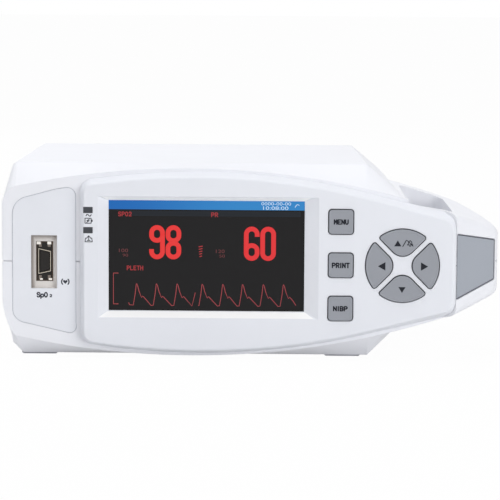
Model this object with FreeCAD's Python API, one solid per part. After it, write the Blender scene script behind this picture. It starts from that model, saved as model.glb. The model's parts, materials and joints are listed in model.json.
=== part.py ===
import FreeCAD, Part
import math
import os

# Ward patient monitor, millimetres.  +X to the right of the screen, +Y to the rear, +Z up.
# The origin lies under the middle of the monitor, on the surface that its feet stand on.

V = FreeCAD.Vector
AXIS_X = V(1, 0, 0)
AXIS_Y = V(0, 1, 0)
AXIS_Z = V(0, 0, 1)

# ---------------------------------------------------------------- driving dimensions
# case
total_depth = 154.8          # key tops to the proudest rear part
wall = 2.5                   # moulded wall of the two case halves
foot_height = 1.0
case_height = 94.2           # case bottom to case top
face_drop = 0.75             # the middle of the lens-shaped front lies below the case's middle
seam_height = 47.35          # joint between the two halves
seam_groove = 0.5
seam_groove_depth = 0.6
box_inset = 3.9              # left side of the box, in from the lens' left end
box_corner = 5.0             # lower left
box_top_corner = 3.0         # upper left
box_slope_width = 15.5       # the top turns down to the handle over this width
box_foot_inset = 14.4        # the bottom turns up to the handle over this width
box_root_drop = 32.0         # the lower slope ends this far below the front's middle
box_shoulder_drop = 13.2     # the upper slope ends this far below the top
rear_draft = 3.5             # the right side of the box comes in towards the rear

# lens-shaped front
lens_middle = -29.9
lens_radius = 400.0
crest_below_top = 2.0
trough_above_bottom = 0.6
lens_margin = 5.0            # sensor plate to the lens' left end
front_rake = 10.0            # depth of the raked faces between box and lens
lens_shoulder = 6.3          # width of the rounded upper left corner
lens_shoulder_bend = 1.6
lens_shoulder_drop = 3.7
lens_shoulder_height = 10.5
lens_foot = 6.0              # width of the cut lower left corner
lens_foot_start = 15.3       # it starts this far below the middle
lens_foot_bend = (0.9, 25.3)
lens_foot_end = (4.0, 33.8)
cheek_along = 2.5            # along the slanted end, the case takes over from the bezel here

# handle
handle_reach = 23.8          # from the bezel's right end to the tip
handle_root = 6.0            # the handle starts this far inside the box
handle_wrap = 21.5           # handle behind the finger slot
handle_edge = 4.5            # rounding of the handle's long edges
handle_tip_round = 2.2
handle_taper = 3.0           # its outer side comes in towards the rear
handle_turn_y = -11.0
handle_corner = 24.0         # rounded rear corner
slot_width = 23.0
slot_length = 78.2
slot_start = 11.2            # behind the key tops
slot_offset = 1.9            # from the middle of the direction pad
slot_corner = 7.0
slot_dip = 2.4               # the wall in front of the slot dips beside the box
slot_dip_start = 1.0
slot_dip_end = 4.0
slot_side = 3.5              # wall between the slot and the box

# front bezel
ridge_middle = -26.0
ridge_radius = 350.0
ridge_margin = 3.6          # bezel's crest below the lens' crest
ridge_straight_inset = 9.5   # right of this the outline runs straight
ridge_corner = 5.0
ridge_shoulder = 6.1
ridge_shoulder_bend = 1.7
ridge_shoulder_drop = 2.5
ridge_shoulder_height = 7.0
ridge_round = 1.2            # rounding between the bezel's face and its flank
ridge_flank = 2.2            # the flank spreads by this much down to the case
ridge_flank_right = 1.2
bezel_height = 7.0           # face of the bezel in front of the case wall
bezel_wall = 2.4
bezel_right = 24.5           # from the middle of the direction pad
key_proud = 0.8
hook_places = (-18.2, 23.8)  # snap hooks, from the display's middle
hook_width = 8.0
hook_thickness = 1.2
hook_catch = 1.0

# display
active_width = 95.04
active_height = 53.86
active_x = -21.8
active_rise = 3.65           # display above the front's middle
bezel_left = 11.98           # lit area to the bezel's ridge
window_depth = 4.0
window_rim_left = 5.1
window_rim_right = 6.9
window_rim_top = 2.1
window_rim_bottom = 3.4
window_wall = 1.6            # round the well, behind the bezel's face
lip = 0.9
glass_margin = 3.0
glass_thickness = 1.0
panel_border_side = 5.2
panel_border_top = 3.8
panel_border_bottom = 8.4
panel_thickness = 2.9
panel_edge = 0.5
bracket_thickness = 1.0
bracket_border = 12.0
bracket_rib = 12.0
bracket_ear_inset = 16.0
bracket_ear_level = 14.0

# keys
key_size = 12.1
key_corner = 1.6
key_spacing = 17.58          # lit area to the middle of the square keys
key_pitch = 21.1
pad_spacing = 29.8           # square keys to the middle of the direction pad
pad_radius = 17.9
pad_gap = 2.7
pad_apex_radius = 6.5
pad_outer_corner = 1.2
key_travel = 1.2
key_flange = 0.9
key_flange_thickness = 1.0
key_edge = 0.7
stem_radius = 3.0
mat_thickness = 1.2
board_thickness = 1.6
key_board_margin = 1.5
key_board_right = 2.4
header_width = 18.0
header_height = 5.0
header_depth = 2.2

# status windows
status_inset = 2.7           # from the bezel's left ridge
status_width = 3.6
status_height = 2.9
status_rises = (25.95, 16.15)
status_depth = 4.3
status_board_thickness = 1.0
status_board_margin = 4.0

# sensor plate and socket
plate_gap = 4.4              # plate to the bezel's ridge
plate_width = 30.7
plate_thickness = 2.5
plate_lower_left = ((0.0, -23.8), (0.9, -26.8), (4.8, -29.8))
plate_right_side = ((-3.3, -34.9), (-1.0, -34.2), (0.0, -30.3), (0.0, 31.5), (-1.2, 34.8),
                    (-5.2, 35.9), (-9.0, 35.4))
plate_upper_left = ((6.6, 31.4), (1.9, 28.4), (0.0, 23.8))
ledge_thickness = 1.5
ledge_width = 2.0
recess_inset = 15.3          # from the plate's left side
recess_drop = 0.25
recess_width = 12.6
recess_height = 26.0
recess_depth = 3.5
recess_floor = 1.2
recess_wall = 1.4
socket_width = 8.2
socket_height = 19.4
socket_depth = 6.6
socket_proud = 0.5
socket_sheet = 0.5
mouth_sheet = 0.35
mouth_height = 12.0
mouth_short = 8.8
mouth_width = 5.5
core_base = 2.2
tongue_thickness = 1.8
contact_count = 7
contact_pitch = 1.03
contact_size = 0.56
contact_thickness = 0.25
latch_width = 5.8
latch_slit = 3.0
latch_reach = 2.4
latch_start = 1.0            # above and below the mouth
sensor_board_gap = 0.8
sensor_post_left = 6.0
sensor_post_right = 5.5
sensor_post_levels = (-23.0, 24.0)
sensor_board_margin = 3.0
sensor_board_levels = (-27.0, 28.0)
sensor_shield_levels = (-16.0, 8.0)
sensor_shield_inset = 4.0
sensor_shield_depth = 4.0
sensor_header_levels = (12.0, 17.0)
sensor_header_depth = 5.0

# alarm window on the slanted end
alarm_start = 2.9            # from the bezel's ridge, along the slanted face
alarm_length = 28.2
alarm_near = (-16.4, 15.2)   # low and high edge at the bezel
alarm_far = (-8.4, 10.9)     # and at the tip
alarm_bevel = 0.6
alarm_lens_thickness = 2.0
alarm_pocket_gap = 0.25
alarm_sill = 0.3             # window below the slanted face
alarm_flange = 2.2
alarm_opening = (21.0, 17.0)
alarm_board_distance = 3.0
alarm_board_size = (18.0, 14.0)
alarm_post_inset = 1.4
alarm_led = 2.8
alarm_led_height = 1.2
alarm_led_pitch = 6.0

# printer on the left side
printer_y = 9.0
door_half = 36.0
door_pivot_rise = 24.2       # above the case bottom
door_knuckle = 4.1
door_reach = 52.8            # from its hinge to its top edge
hinge_pin_radius = 1.25
grip_half = 11.0
grip_proud = 1.3
grip_levels = (7.5, 4.0)     # below the door's top
grip_edge = 0.6
arm_thickness = 2.5
arm_drop = 16.0              # arms below the door's top
arm_top_gap = 1.5
arm_reach = 11.0
platen_inset = 8.5           # platen from the left side
platen_drop = 8.0            # platen below the door's top
platen_radius = 5.0
platen_half = 28.7
platen_shaft = 1.5
gear_module = 0.5
platen_teeth = 20
drive_teeth = 16
gear_width = 2.8
gear_backlash = 0.06
gear_play = 0.05
drive_shaft = 1.2
drive_shaft_reach = 4.0
roll_radius = 21.0
roll_half = 28.6
roll_core = 6.0
roll_inset = 26.5            # roll from the left side
roll_rise = 18.8             # roll above the door's hinge
roll_clearance = 0.4
frame_wall = 2.0
frame_half = 36.4
frame_flange = 3.0
frame_flange_thickness = 1.6
head_thickness = 2.6
head_half_height = 6.8
head_glaze = 0.8
head_glaze_height = 2.0
printer_motor_radius = 8.5
printer_motor_length = 13.0
motor_ear = 4.0
motor_ear_thickness = 1.2

# pneumatics on the floor at the rear
pump_radius = 13.5
pump_length = 46.0
pump_x = -46.0
pump_inset = 27.4            # from the rear
pump_rise = 2.0
pump_motor_step = 1.5
pump_head_share = 0.55
pump_nozzle = 4.0
pump_nozzle_radius = 2.2
clamp_start = 6.0
clamp_width = 12.0
clamp_sheet = 1.6
clamp_foot = 4.9
manifold_length = 12.0
manifold_front = 9.0
manifold_rear = 5.5
manifold_rise = 6.0
manifold_stub = 7.0
valve_radius = 6.5
valve_height = 24.0
valve_offset = 7.0
valve_stub = 4.0
valve_stub_radius = 2.0
port_inset = 18.4            # from the rear
port_rise = 26.0             # above the case bottom
port_flange = 8.0
port_proud = 1.8
port_edge = 0.8
port_barrel = 5.5
port_nut = 2.2
port_nut_thickness = 3.0
port_reach = 9.0
port_barb = 8.0
port_duct = 1.2
port_bore = 3.2
port_bore_depth = 12.0
hose_outer = 3.0
hose_inner = 2.2

# power
battery_width = 56.0
battery_height = 19.0
battery_x = -26.0
battery_gap = 5.0            # between the chassis and the battery
battery_rear_gap = 4.0       # between the battery and the pump's clamp
battery_play = 0.2
battery_edge = 2.0
door_thickness = 2.3
well_wall = 1.6              # walls and roof of the battery well
rim_height = 1.2
contact_width = 20.0
contact_length = 10.0
contact_inset = 2.0
contact_flange = 1.2
blade_width = 2.0
blade_pitch = 6.0
door_lap = 2.0               # the battery door reaches past the well by this much
door_notch = (16.0, 2.4, 1.0)
door_screw_inset = 4.0
coin_slot = (4.4, 0.8, 0.8)
inlet_inset = 35.5           # from the right side of the box
inlet_rise = 26.0            # above the case bottom
inlet_width = 27.0
inlet_height = 20.0
inlet_depth = 20.0
inlet_flange = 2.0
inlet_flange_thickness = 1.5
inlet_edge = 1.0
plug_width = 24.0
plug_height = 16.0
plug_depth = 15.5
plug_key = 4.0
pin_places = ((-7.0, -2.0), (0.0, 2.0), (7.0, -2.0))
pin_size = (2.0, 11.5, 4.0)
pin_edge = 0.5
switch_spacing = 28.0        # from the mains inlet
switch_width = 13.0
switch_height = 19.0
switch_depth = 14.0
switch_flange = 1.5
switch_edge = 0.8
switch_wall = 1.5
switch_blade = (6.0, 7.0, 0.8)
rocker_radius = 8.2
rocker_tilt = 10.0
rocker_depth = 2.4           # pivot below the rear wall
rocker_crown = 1.8           # middle of the rocker's face in front of its pivot
rocker_back = 2.5
module_gap = 8.0             # battery well to the power module, and inlet to the module
module_right = 5.3
module_length = 80.0
module_rise = 4.0
module_post = 2.5
module_post_inset = 4.0
transformer_size = (26.0, 24.0, 20.0)
capacitor_size = (8.0, 24.0)
filter_size = (16.0, 14.0, 14.0)
sink_size = (3.0, 46.0, 22.0)

# loudspeaker
speaker_x = -22.0
speaker_drop = 26.2          # below the case top
speaker_radius = 18.0
speaker_depth = 15.0
speaker_rim = 3.0
speaker_cone_step = 1.5
magnet_radius = 11.0
magnet_depth = 6.0
speaker_ring_wall = 1.6
speaker_ring_depth = 6.0
grille_slot = 1.6
grille_pitch = 3.6
grille_margin = 3.0

# boards and frames
chassis_start = 30.4         # behind the key tops
chassis_thickness = 1.2
chassis_left = -58.0
chassis_width = 108.0
chassis_top_gap = 9.2
chassis_foot = 10.0
chassis_pad = 1.5
chassis_pad_radius = 3.0
chassis_pad_inset = 8.0
chassis_window = (22.0, 36.0)
chassis_window_inset = 12.0
chassis_window_rise = 29.0
standoff = 5.0
standoff_radius = 2.2
standoff_inset = 6.0
standoff_rise = 23.0
standoff_drop = 5.0
main_board_margin = 2.0
main_board_rise = 19.0
main_board_drop = 1.0
# low left corner from the board's left and low edge, then width, height and depth
main_board_parts = ((38.0, 24.0, 22.0, 22.0, 1.8), (70.0, 32.0, 26.0, 26.0, 3.0),
                    (22.0, 8.0, 26.0, 4.0, 3.2), (68.0, 8.0, 20.0, 5.0, 3.2), (4.0, 10.0, 10.0, 20.0, 5.0))

# fasteners and feet
screw_radius = 1.4
screw_head = 2.8
screw_head_height = 2.0
screw_length = 20.0
boss_radius = 4.8
small_screw_radius = 1.0
small_screw_length = 3.5
small_head = 2.0
small_head_height = 1.2
post_wall = 0.6
foot_width = 17.4
foot_length = 14.0
foot_inset = 1.0
foot_edge = 0.6
foot_wall = 1.5

# clearances
gap = 0.3                    # around every piece that sits in an opening
key_gap = 0.25               # round the keys
slide_gap = 0.15             # behind the bezel, before a key's flange
run_gap = 0.05               # radial, shaft in bore
hole_gap = 0.1               # radial, screw in its hole
air = 0.1                    # left between a key and the board at the end of its travel
beyond = 250.0               # cutting blocks reach past the whole monitor

# ---------------------------------------------------------------- derived places
# front to rear
rocker_rise = math.tan(math.radians(rocker_tilt))
rocker_corner = (math.sqrt(rocker_radius ** 2 * (1 + rocker_rise ** 2) - rocker_crown ** 2)
                 - rocker_crown * rocker_rise) / (1 + rocker_rise ** 2)
rocker_reach = ((rocker_crown + rocker_corner * rocker_rise) * math.cos(math.radians(rocker_tilt))
                + rocker_corner * math.sin(math.radians(rocker_tilt)))
rear_trim = rocker_reach - rocker_depth     # how far the rocker stands proud of the rear wall
y_key = -total_depth / 2
y_face = y_key + key_proud
y_glass = y_face + window_depth
y_wall = y_face + bezel_height
y_box = y_wall + front_rake
y_rear = total_depth / 2
y_back = y_rear - rear_trim
rear_inner = y_back - wall
slot_front = y_key + slot_start
slot_rear = slot_front + slot_length
handle_rear = slot_rear + handle_wrap
chassis_y = y_key + chassis_start
pump_y = y_rear - pump_inset
battery_front = chassis_y + battery_gap
battery_rear = pump_y - pump_radius - clamp_sheet - clamp_foot - battery_rear_gap
port_y = y_rear - port_inset
# floor to top
z_bottom = foot_height
z_top = foot_height + case_height
floor = z_bottom + wall
ceiling = z_top - wall
face_z = (z_bottom + z_top) / 2 - face_drop
lens_rise = z_top - crest_below_top - face_z
lens_drop = face_z - z_bottom - trough_above_bottom
ridge_half = (lens_rise + lens_drop) / 2 - ridge_margin
active_z = face_z + active_rise
status_levels = tuple(face_z + rise for rise in status_rises)
recess_z = face_z - recess_drop
door_pivot_z = z_bottom + door_pivot_rise
door_top = door_pivot_z + door_reach
arm_low = door_top - arm_drop
arm_high = door_top - arm_top_gap
platen_z = door_top - platen_drop
roll_z = door_pivot_z + roll_rise
port_z = z_bottom + port_rise
inlet_z = z_bottom + inlet_rise
speaker_z = z_top - speaker_drop
chassis_top = z_top - chassis_top_gap
# left to right, outwards from the display
ridge_left = active_x - active_width / 2 - bezel_left
status_x = ridge_left + status_inset
plate_right = ridge_left - plate_gap
plate_left = plate_right - plate_width
recess_x = plate_left + recess_inset
lens_left = plate_left - lens_margin
box_left = lens_left + box_inset
box_inner_left = box_left + wall
key_x = active_x + active_width / 2 + key_spacing
pad_x = key_x + pad_spacing
ridge_right = pad_x + bezel_right
lens_tip = ridge_right + handle_reach
slot_left = pad_x + slot_offset
slot_right = slot_left + slot_width
box_right = slot_left - slot_side
box_slope_start = box_right - box_slope_width
box_foot_right = box_right - box_foot_inset
ridge_straight = box_right - ridge_straight_inset
door_pivot_x = box_left + door_knuckle
platen_x = box_left + platen_inset
roll_x = box_left + roll_inset
inlet_x = box_right - inlet_inset
switch_x = inlet_x - switch_spacing
chassis_right = chassis_left + chassis_width
boss_places = (
    (box_left + 10.5, chassis_y + 9.0), (box_right - 11.5, chassis_y + 9.0),
    (box_left + 37.5, y_rear - 10.4), (box_right - 13.5, y_rear - 11.4),
    (lens_tip - 10.9, (slot_front + slot_rear) / 2), ((slot_left + slot_right) / 2, handle_rear - 10.7),
)
foot_places = (
    (box_left + 12.9, y_key + 26.4), (box_foot_right - 12.3, y_key + 26.4),
    (box_left + 17.1, y_rear - 15.4), (box_foot_right - 16.1, y_rear - 15.4),
)
slant = math.sqrt(0.5)       # the slanted end stands at 45 degrees


# ---------------------------------------------------------------- shape helpers
def box(x0, x1, y0, y1, z0, z1):
    return Part.makeBox(x1 - x0, y1 - y0, z1 - z0, V(x0, y0, z0))


def rod(radius, start, end):
    """Cylinder between two points."""
    return Part.makeCylinder(radius, (end - start).Length, start, end - start)


def front_rod(radius, x, z, y0, y1):
    return rod(radius, V(x, y0, z), V(x, y1, z))


def drop_rod(radius, x, y, z0, z1):
    return rod(radius, V(x, y, z0), V(x, y, z1))


def on_front(y):
    return lambda point: V(point[0], y, point[1])


def on_floor(z):
    return lambda point: V(point[0], point[1], z)


def wire(points, mids, place):
    """Closed outline; an index in mids is a point in the middle of an arc or of a straight run."""
    edges = []
    count = len(points)
    index = 0
    while index < count:
        here = place(points[index])
        if index + 1 in mids:
            middle = place(points[index + 1])
            end = place(points[(index + 2) % count])
            bend = (middle - here).cross(end - here).Length / (end - here).Length
            arc = Part.Arc(here, middle, end).toShape() if bend > 1e-4 else Part.makeLine(here, end)
            edges.append(arc)
            index += 2
        else:
            end = place(points[(index + 1) % count])
            edges.append(Part.makeLine(here, end))
            index += 1
    return Part.Wire(edges)


def prism(points, mids, place, push):
    return Part.Face(wire(points, mids, place)).extrude(push)


def inset(points, distance):
    """Move a counter-clockwise outline inwards by distance (outwards if negative)."""
    moved = []
    count = len(points)
    for index in range(count):
        before = points[index - 1]
        here = points[index]
        after = points[(index + 1) % count]
        first = math.atan2(here[1] - before[1], here[0] - before[0])
        second = math.atan2(after[1] - here[1], after[0] - here[0])
        turn = (second - first + math.pi) % (2 * math.pi) - math.pi
        normal = first + turn / 2 + math.pi / 2
        reach = distance / math.cos(turn / 2)
        moved.append((here[0] + reach * math.cos(normal), here[1] + reach * math.sin(normal)))
    return moved


def rounded(x0, x1, z0, z1, radius):
    """Rectangle with round corners, as points and arc middles."""
    points = []
    mids = []
    corners = ((x1, z0, -90), (x1, z1, 0), (x0, z1, 90), (x0, z0, 180))
    for x, z, start in corners:
        centre_x = x - math.copysign(radius, x - (x0 + x1) / 2)
        centre_z = z - math.copysign(radius, z - (z0 + z1) / 2)
        for step in (0, 45, 90):
            angle = math.radians(start + step)
            if step == 45:
                mids.append(len(points))
            points.append((centre_x + radius * math.cos(angle), centre_z + radius * math.sin(angle)))
    return points, mids


def join(first, *others):
    return first.fuse(list(others)).removeSplitter()


def add(shape, pieces):
    for piece in pieces:
        shape = shape.fuse(piece)
    return shape


def carve(shape, cutters):
    for cutter in cutters:
        shape = shape.cut(cutter)
    return shape


def edges_where(shape, test):
    return [edge for edge in shape.Edges if test(edge)]


def soften(shape, radius, test):
    """Round the edges that pass the test."""
    chosen = edges_where(shape, test)
    return shape.makeFillet(radius, chosen) if chosen else shape


def lies_at_y(y):
    return lambda edge: all(abs(vertex.Point.y - y) < 1e-6 for vertex in edge.Vertexes)


# ---------------------------------------------------------------- outlines of the case
def arc_height(x, middle, radius):
    """How far a crest circle has fallen at x."""
    return radius - math.sqrt(radius ** 2 - (x - middle) ** 2)


def lens_top(x):
    return face_z + lens_rise - arc_height(x, lens_middle, lens_radius)


def lens_bottom(x):
    return face_z - lens_drop + arc_height(x, lens_middle, lens_radius)


def lens_section():
    """Outline of the front wall, counter-clockwise from its lower left corner."""
    left = lens_left
    right = box_right
    low = left + lens_foot
    turn = left + lens_shoulder
    points = [
        (low, lens_bottom(low)), (lens_middle, lens_bottom(lens_middle)),
        (box_foot_right, lens_bottom(box_foot_right)), (right, lens_bottom(right)),
        (right, lens_top(right)), ((box_slope_start + right) / 2, lens_top((box_slope_start + right) / 2)),
        (box_slope_start, lens_top(box_slope_start)), (lens_middle, lens_top(lens_middle)),
        (turn, lens_top(turn)), (left + lens_shoulder_bend, lens_top(turn) - lens_shoulder_drop),
        (left, lens_top(turn) - lens_shoulder_height), (left, face_z - lens_foot_start),
        (left + lens_foot_bend[0], face_z - lens_foot_bend[1]),
        (left + lens_foot_end[0], face_z - lens_foot_end[1]),
    ]
    return points, (1, 5, 7, 9, 12)


def box_section(draft):
    """Outline of the box, with the same corners as the front wall."""
    left = box_left
    right = box_right - draft
    corner = box_top_corner * (1 - math.sqrt(0.5))
    points = [
        (left + box_corner, z_bottom), ((box_foot_right + left) / 2, z_bottom),
        (box_foot_right - draft, z_bottom), (right, face_z - box_root_drop),
        (right, z_top - box_shoulder_drop),
        (right - box_slope_width / 2, z_top - box_shoulder_drop / 2),
        (box_slope_start - draft, z_top), ((box_slope_start + left) / 2, z_top),
        (left + box_top_corner, z_top), (left + corner, z_top - corner),
        (left, z_top - box_top_corner), (left, face_z - lens_foot_start),
        (left, face_z - lens_foot_bend[1]), (left, z_bottom + box_corner),
    ]
    return points


def plan_outline():
    """Plan of the handle, counter-clockwise from its front left corner."""
    corner = lens_tip - handle_tip_round
    root = box_right - handle_root
    cheek = slant_point(cheek_along, 0, 0)
    cheek_rear = slant_point(cheek_along, 0, bezel_height / slant - cheek_along)
    return [
        (root, y_wall), (cheek_rear.x, cheek_rear.y), (cheek.x, cheek.y),
        (corner, y_face + corner - ridge_right), (lens_tip - 0.5, y_face + lens_tip - ridge_right + 1.0),
        (lens_tip, y_face + lens_tip - ridge_right + 4.5),
        (lens_tip - handle_taper, handle_turn_y), (lens_tip - handle_corner * 0.5, handle_rear - 10.5),
        (lens_tip - handle_corner + 7.5, handle_rear - 2.5), (lens_tip - handle_corner, handle_rear),
        (root, handle_rear),
    ]


plan_mids = (4, 6, 8)


def handle_solid(offset):
    """Loop handle: a length of the lens, cut to the plan, with the finger slot through it."""
    left = box_right - handle_root
    beyond = lens_tip + handle_edge
    middle = (left + beyond) / 2
    plan = plan_outline()
    if offset:
        left -= handle_root
        plan = inset(plan, offset)
        plan[0] = (left, plan[0][1])
        plan[-1] = (left, plan[-1][1])
    profile = [(x, lens_bottom(x) + offset) for x in (left, middle, beyond)]
    profile += [(x, lens_top(x) - offset) for x in (beyond, middle, left)]
    bar = prism(profile, (1, 4), on_front(y_face), AXIS_Y * (handle_rear - y_face))
    cutter = prism(plan, plan_mids, on_floor(0), AXIS_Z * (z_top + foot_height))
    loop = bar.common(cutter)
    cheek_x = slant_point(cheek_along, 0, 0).x

    def long_edge(edge):
        middle_point = edge.CenterOfMass
        outside = middle_point.x > cheek_x + 0.5 or middle_point.y > handle_rear - 0.5
        across = edge.BoundBox.ZLength < 12.0
        return outside and across and middle_point.x > box_right

    if not offset:
        loop = soften(loop, handle_edge, long_edge)
    slot, slot_mids = rounded(slot_left - offset, slot_right + offset, slot_front - offset,
                              slot_rear + offset, slot_corner + offset)
    return loop.cut(prism(slot, slot_mids, on_floor(0), AXIS_Z * (z_top + foot_height)))


def slot_front_dip():
    """Straight dip of the wall between the bezel and the finger slot, deepest beside the box."""
    end = slot_right - slot_dip_end
    start = slot_left + slot_dip_start
    points = [(start, lens_top(start) - slot_dip), (end, lens_top(end)), (end, z_top), (start, z_top)]
    return prism(points, (), on_front(y_wall - 1), AXIS_Y * (slot_front + slot_corner / 2 - y_wall + 1))


def case_solid(offset):
    """The whole outside of the case, or the same shape one wall inside it."""
    front, front_mids = lens_section()
    back = box_section(0)
    end = box_section(rear_draft)
    sections = []
    for points, y in ((front, y_wall + offset), (back, y_box), (end, y_back - offset)):
        sections.append(wire(inset(points, offset), front_mids, on_front(y)))
    nose = Part.makeLoft(sections[:2], True, True)
    body = Part.makeLoft(sections[1:], True, True)
    return join(nose, body, handle_solid(offset))


def ridge_outline():
    """Outline of the bezel's face, counter-clockwise from its lower left."""
    left = ridge_left + ridge_corner
    slope = (ridge_straight - ridge_middle) / math.sqrt(
        ridge_radius ** 2 - (ridge_straight - ridge_middle) ** 2)
    fall_left = arc_height(left, ridge_middle, ridge_radius)
    fall_middle = arc_height((left + ridge_straight) / 2, ridge_middle, ridge_radius)
    fall_right = arc_height(ridge_straight, ridge_middle, ridge_radius)
    shoulder = ridge_right - ridge_shoulder
    fall_shoulder = fall_right + slope * (shoulder - ridge_straight)
    half = [
        (left, fall_left), ((left + ridge_straight) / 2, fall_middle), (ridge_straight, fall_right),
        (shoulder, fall_shoulder), (ridge_right - ridge_shoulder_bend, fall_shoulder + ridge_shoulder_drop),
        (ridge_right, fall_shoulder + ridge_shoulder_height),
    ]
    corner = ridge_corner * (1 - math.sqrt(0.5))
    lower = [(x, face_z - ridge_half + fall) for x, fall in half]
    upper = [(x, face_z + ridge_half - fall) for x, fall in reversed(half)]
    ends = [
        (ridge_left + corner, upper[-1][1] - corner), (ridge_left, upper[-1][1] - ridge_corner),
        (ridge_left, lower[0][1] + ridge_corner), (ridge_left + corner, lower[0][1] + corner),
    ]
    return lower + upper + ends


ridge_mids = (1, 4, 7, 10, 12, 15)


def flank_outline():
    """Foot of the bezel's flank on the case wall; its right side follows the slanted end."""
    spread = inset(ridge_outline(), -ridge_flank)
    shoulder = ridge_right - ridge_shoulder
    foot = []
    for (x, z), (wide_x, wide_z) in zip(ridge_outline(), spread):
        if x > shoulder - 0.1:
            wide_x = x + bezel_height
            wide_z = z + math.copysign(ridge_flank_right, z - face_z)
        foot.append((wide_x, wide_z))
    return foot


def plate_outline():
    """Sensor plate: upright sides, top and bottom edges that follow the lens."""
    corners = [(plate_left + x, face_z + z) for x, z in plate_lower_left]
    corners += [(plate_right + x, face_z + z) for x, z in plate_right_side]
    corners += [(plate_left + x, face_z + z) for x, z in plate_upper_left]
    return corners


plate_mids = (1, 4, 7, 11)


# ---------------------------------------------------------------- the slanted end
def slant_point(along, z, inwards):
    """Point on the slanted face: along it from the ridge, up, and below its surface."""
    x = ridge_right + slant * along - slant * inwards
    y = y_face + slant * along + slant * inwards
    return V(x, y, z)


def alarm_outline():
    start = alarm_start
    end = alarm_start + alarm_length
    low, high = alarm_near
    far_low, far_high = alarm_far
    return [
        (start, face_z + low), (start + alarm_bevel, face_z + low),
        (end - alarm_bevel, face_z + far_low - alarm_bevel), (end, face_z + far_low),
        (end, face_z + far_high - alarm_bevel), (end - alarm_bevel, face_z + far_high),
        (start + alarm_bevel, face_z + high), (start, face_z + high - alarm_bevel),
    ]


def slant_prism(points, depth0, depth1):
    face = Part.Face(wire(points, (), lambda point: slant_point(point[0], point[1], depth0)))
    return face.extrude(V(-slant, slant, 0) * (depth1 - depth0))


def alarm_lens():
    return slant_prism(alarm_outline(), alarm_sill, alarm_sill + alarm_lens_thickness)


def on_slant(width, height, along):
    """Rectangle on the slanted face, centred on its middle height."""
    return [(along - width / 2, face_z - height / 2), (along + width / 2, face_z - height / 2),
            (along + width / 2, face_z + height / 2), (along - width / 2, face_z + height / 2)]


def alarm_led_board():
    """Three lamps on a board that four pins hold behind the window."""
    window_rear = alarm_sill + alarm_lens_thickness
    near = window_rear + alarm_board_distance
    middle = alarm_start + alarm_length / 2
    width, height = alarm_board_size
    pieces = [slant_prism(on_slant(width, height, middle), near, near + board_thickness)]
    for step in (-1, 0, 1):
        lamp = on_slant(alarm_led, alarm_led, middle + step * alarm_led_pitch)
        pieces.append(slant_prism(lamp, near - alarm_led_height, near))
    for side in (-1, 1):
        for level in (-1, 1):
            along = middle + side * (width / 2 - alarm_post_inset)
            z = face_z + level * (height / 2 - alarm_post_inset)
            pieces.append(rod(small_screw_radius, slant_point(along, z, window_rear),
                              slant_point(along, z, near)))
    return join(*pieces)


# ---------------------------------------------------------------- case halves
def case_bosses(inner):
    """Six pillars from floor to ceiling, kept inside the walls."""
    pillars = []
    for x, y in boss_places:
        pillars.append(drop_rod(boss_radius, x, y, z_bottom, z_top).common(inner))
    return pillars


def screw_holes():
    """Deep counterbores from below and thread holes above the seam."""
    holes = []
    seat = seam_height - screw_length / 2
    for x, y in boss_places:
        holes.append(drop_rod(screw_head + gap, x, y, 0, seat))
        holes.append(drop_rod(screw_radius + run_gap, x, y, seat, seam_height + screw_length / 2 + 1))
    return holes


def front_openings():
    """Room behind the bezel, and the seat of the sensor plate."""
    behind = inset(ridge_outline(), bezel_wall + 0.2)
    seat = inset(plate_outline(), -gap)
    return [
        prism(behind, ridge_mids, on_front(y_wall - 1), AXIS_Y * (wall + 1.5)),
        prism(seat, plate_mids, on_front(y_wall - 1), AXIS_Y * (plate_thickness + 1)),
    ]


def plate_ledge(inner):
    """Rim inside the wall that the sensor plate lies against."""
    outer = prism(inset(plate_outline(), -ledge_width), plate_mids, on_front(y_wall + plate_thickness - 0.6),
                  AXIS_Y * (ledge_thickness + 0.6))
    hole = prism(inset(plate_outline(), ledge_width), plate_mids, on_front(y_wall),
                 AXIS_Y * (plate_thickness + ledge_thickness + 1))
    return outer.cut(hole).common(inner)


def alarm_pocket():
    """Seat of the alarm window with a smaller opening behind it."""
    window_rear = alarm_sill + alarm_lens_thickness
    seat = slant_prism(inset(alarm_outline(), -alarm_pocket_gap), -alarm_lens_thickness, window_rear)
    behind = on_slant(alarm_opening[0], alarm_opening[1], alarm_start + alarm_length / 2)
    return [seat, slant_prism(behind, 0, window_rear + alarm_board_distance + board_thickness + 5)]


def alarm_rim(inner_filled):
    """Flange behind the alarm window, inside the slanted wall."""
    window_rear = alarm_sill + alarm_lens_thickness
    flange = slant_prism(inset(alarm_outline(), -alarm_flange), window_rear, window_rear + ledge_thickness)
    return flange.common(inner_filled)


def printer_opening():
    half = door_half + gap
    return box(lens_left, box_inner_left + 0.5, printer_y - half, printer_y + half,
               door_pivot_z - door_knuckle - 0.4, door_top + 0.5)


def rear_openings():
    inlet_half = inlet_width / 2 + gap
    inlet_half_height = inlet_height / 2 + gap
    switch_half = switch_width / 2 + gap
    switch_half_height = switch_height / 2 + gap
    y0 = rear_inner - 1
    return [
        box(inlet_x - inlet_half, inlet_x + inlet_half, y0, y_rear,
            inlet_z - inlet_half_height, inlet_z + inlet_half_height),
        box(switch_x - switch_half, switch_x + switch_half, y0, y_rear,
            inlet_z - switch_half_height, inlet_z + switch_half_height),
    ]


def grille_slots():
    slots = []
    reach = speaker_radius - grille_margin
    count = int(reach // grille_pitch)
    for step in range(-count, count + 1):
        z = speaker_z + step * grille_pitch
        half = math.sqrt(reach ** 2 - (step * grille_pitch) ** 2)
        points, mids = rounded(speaker_x - half, speaker_x + half, z - grille_slot / 2,
                               z + grille_slot / 2, grille_slot / 2 - 0.01)
        slots.append(prism(points, mids, on_front(rear_inner - 1), AXIS_Y * (wall + 2)))
    return slots


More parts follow.
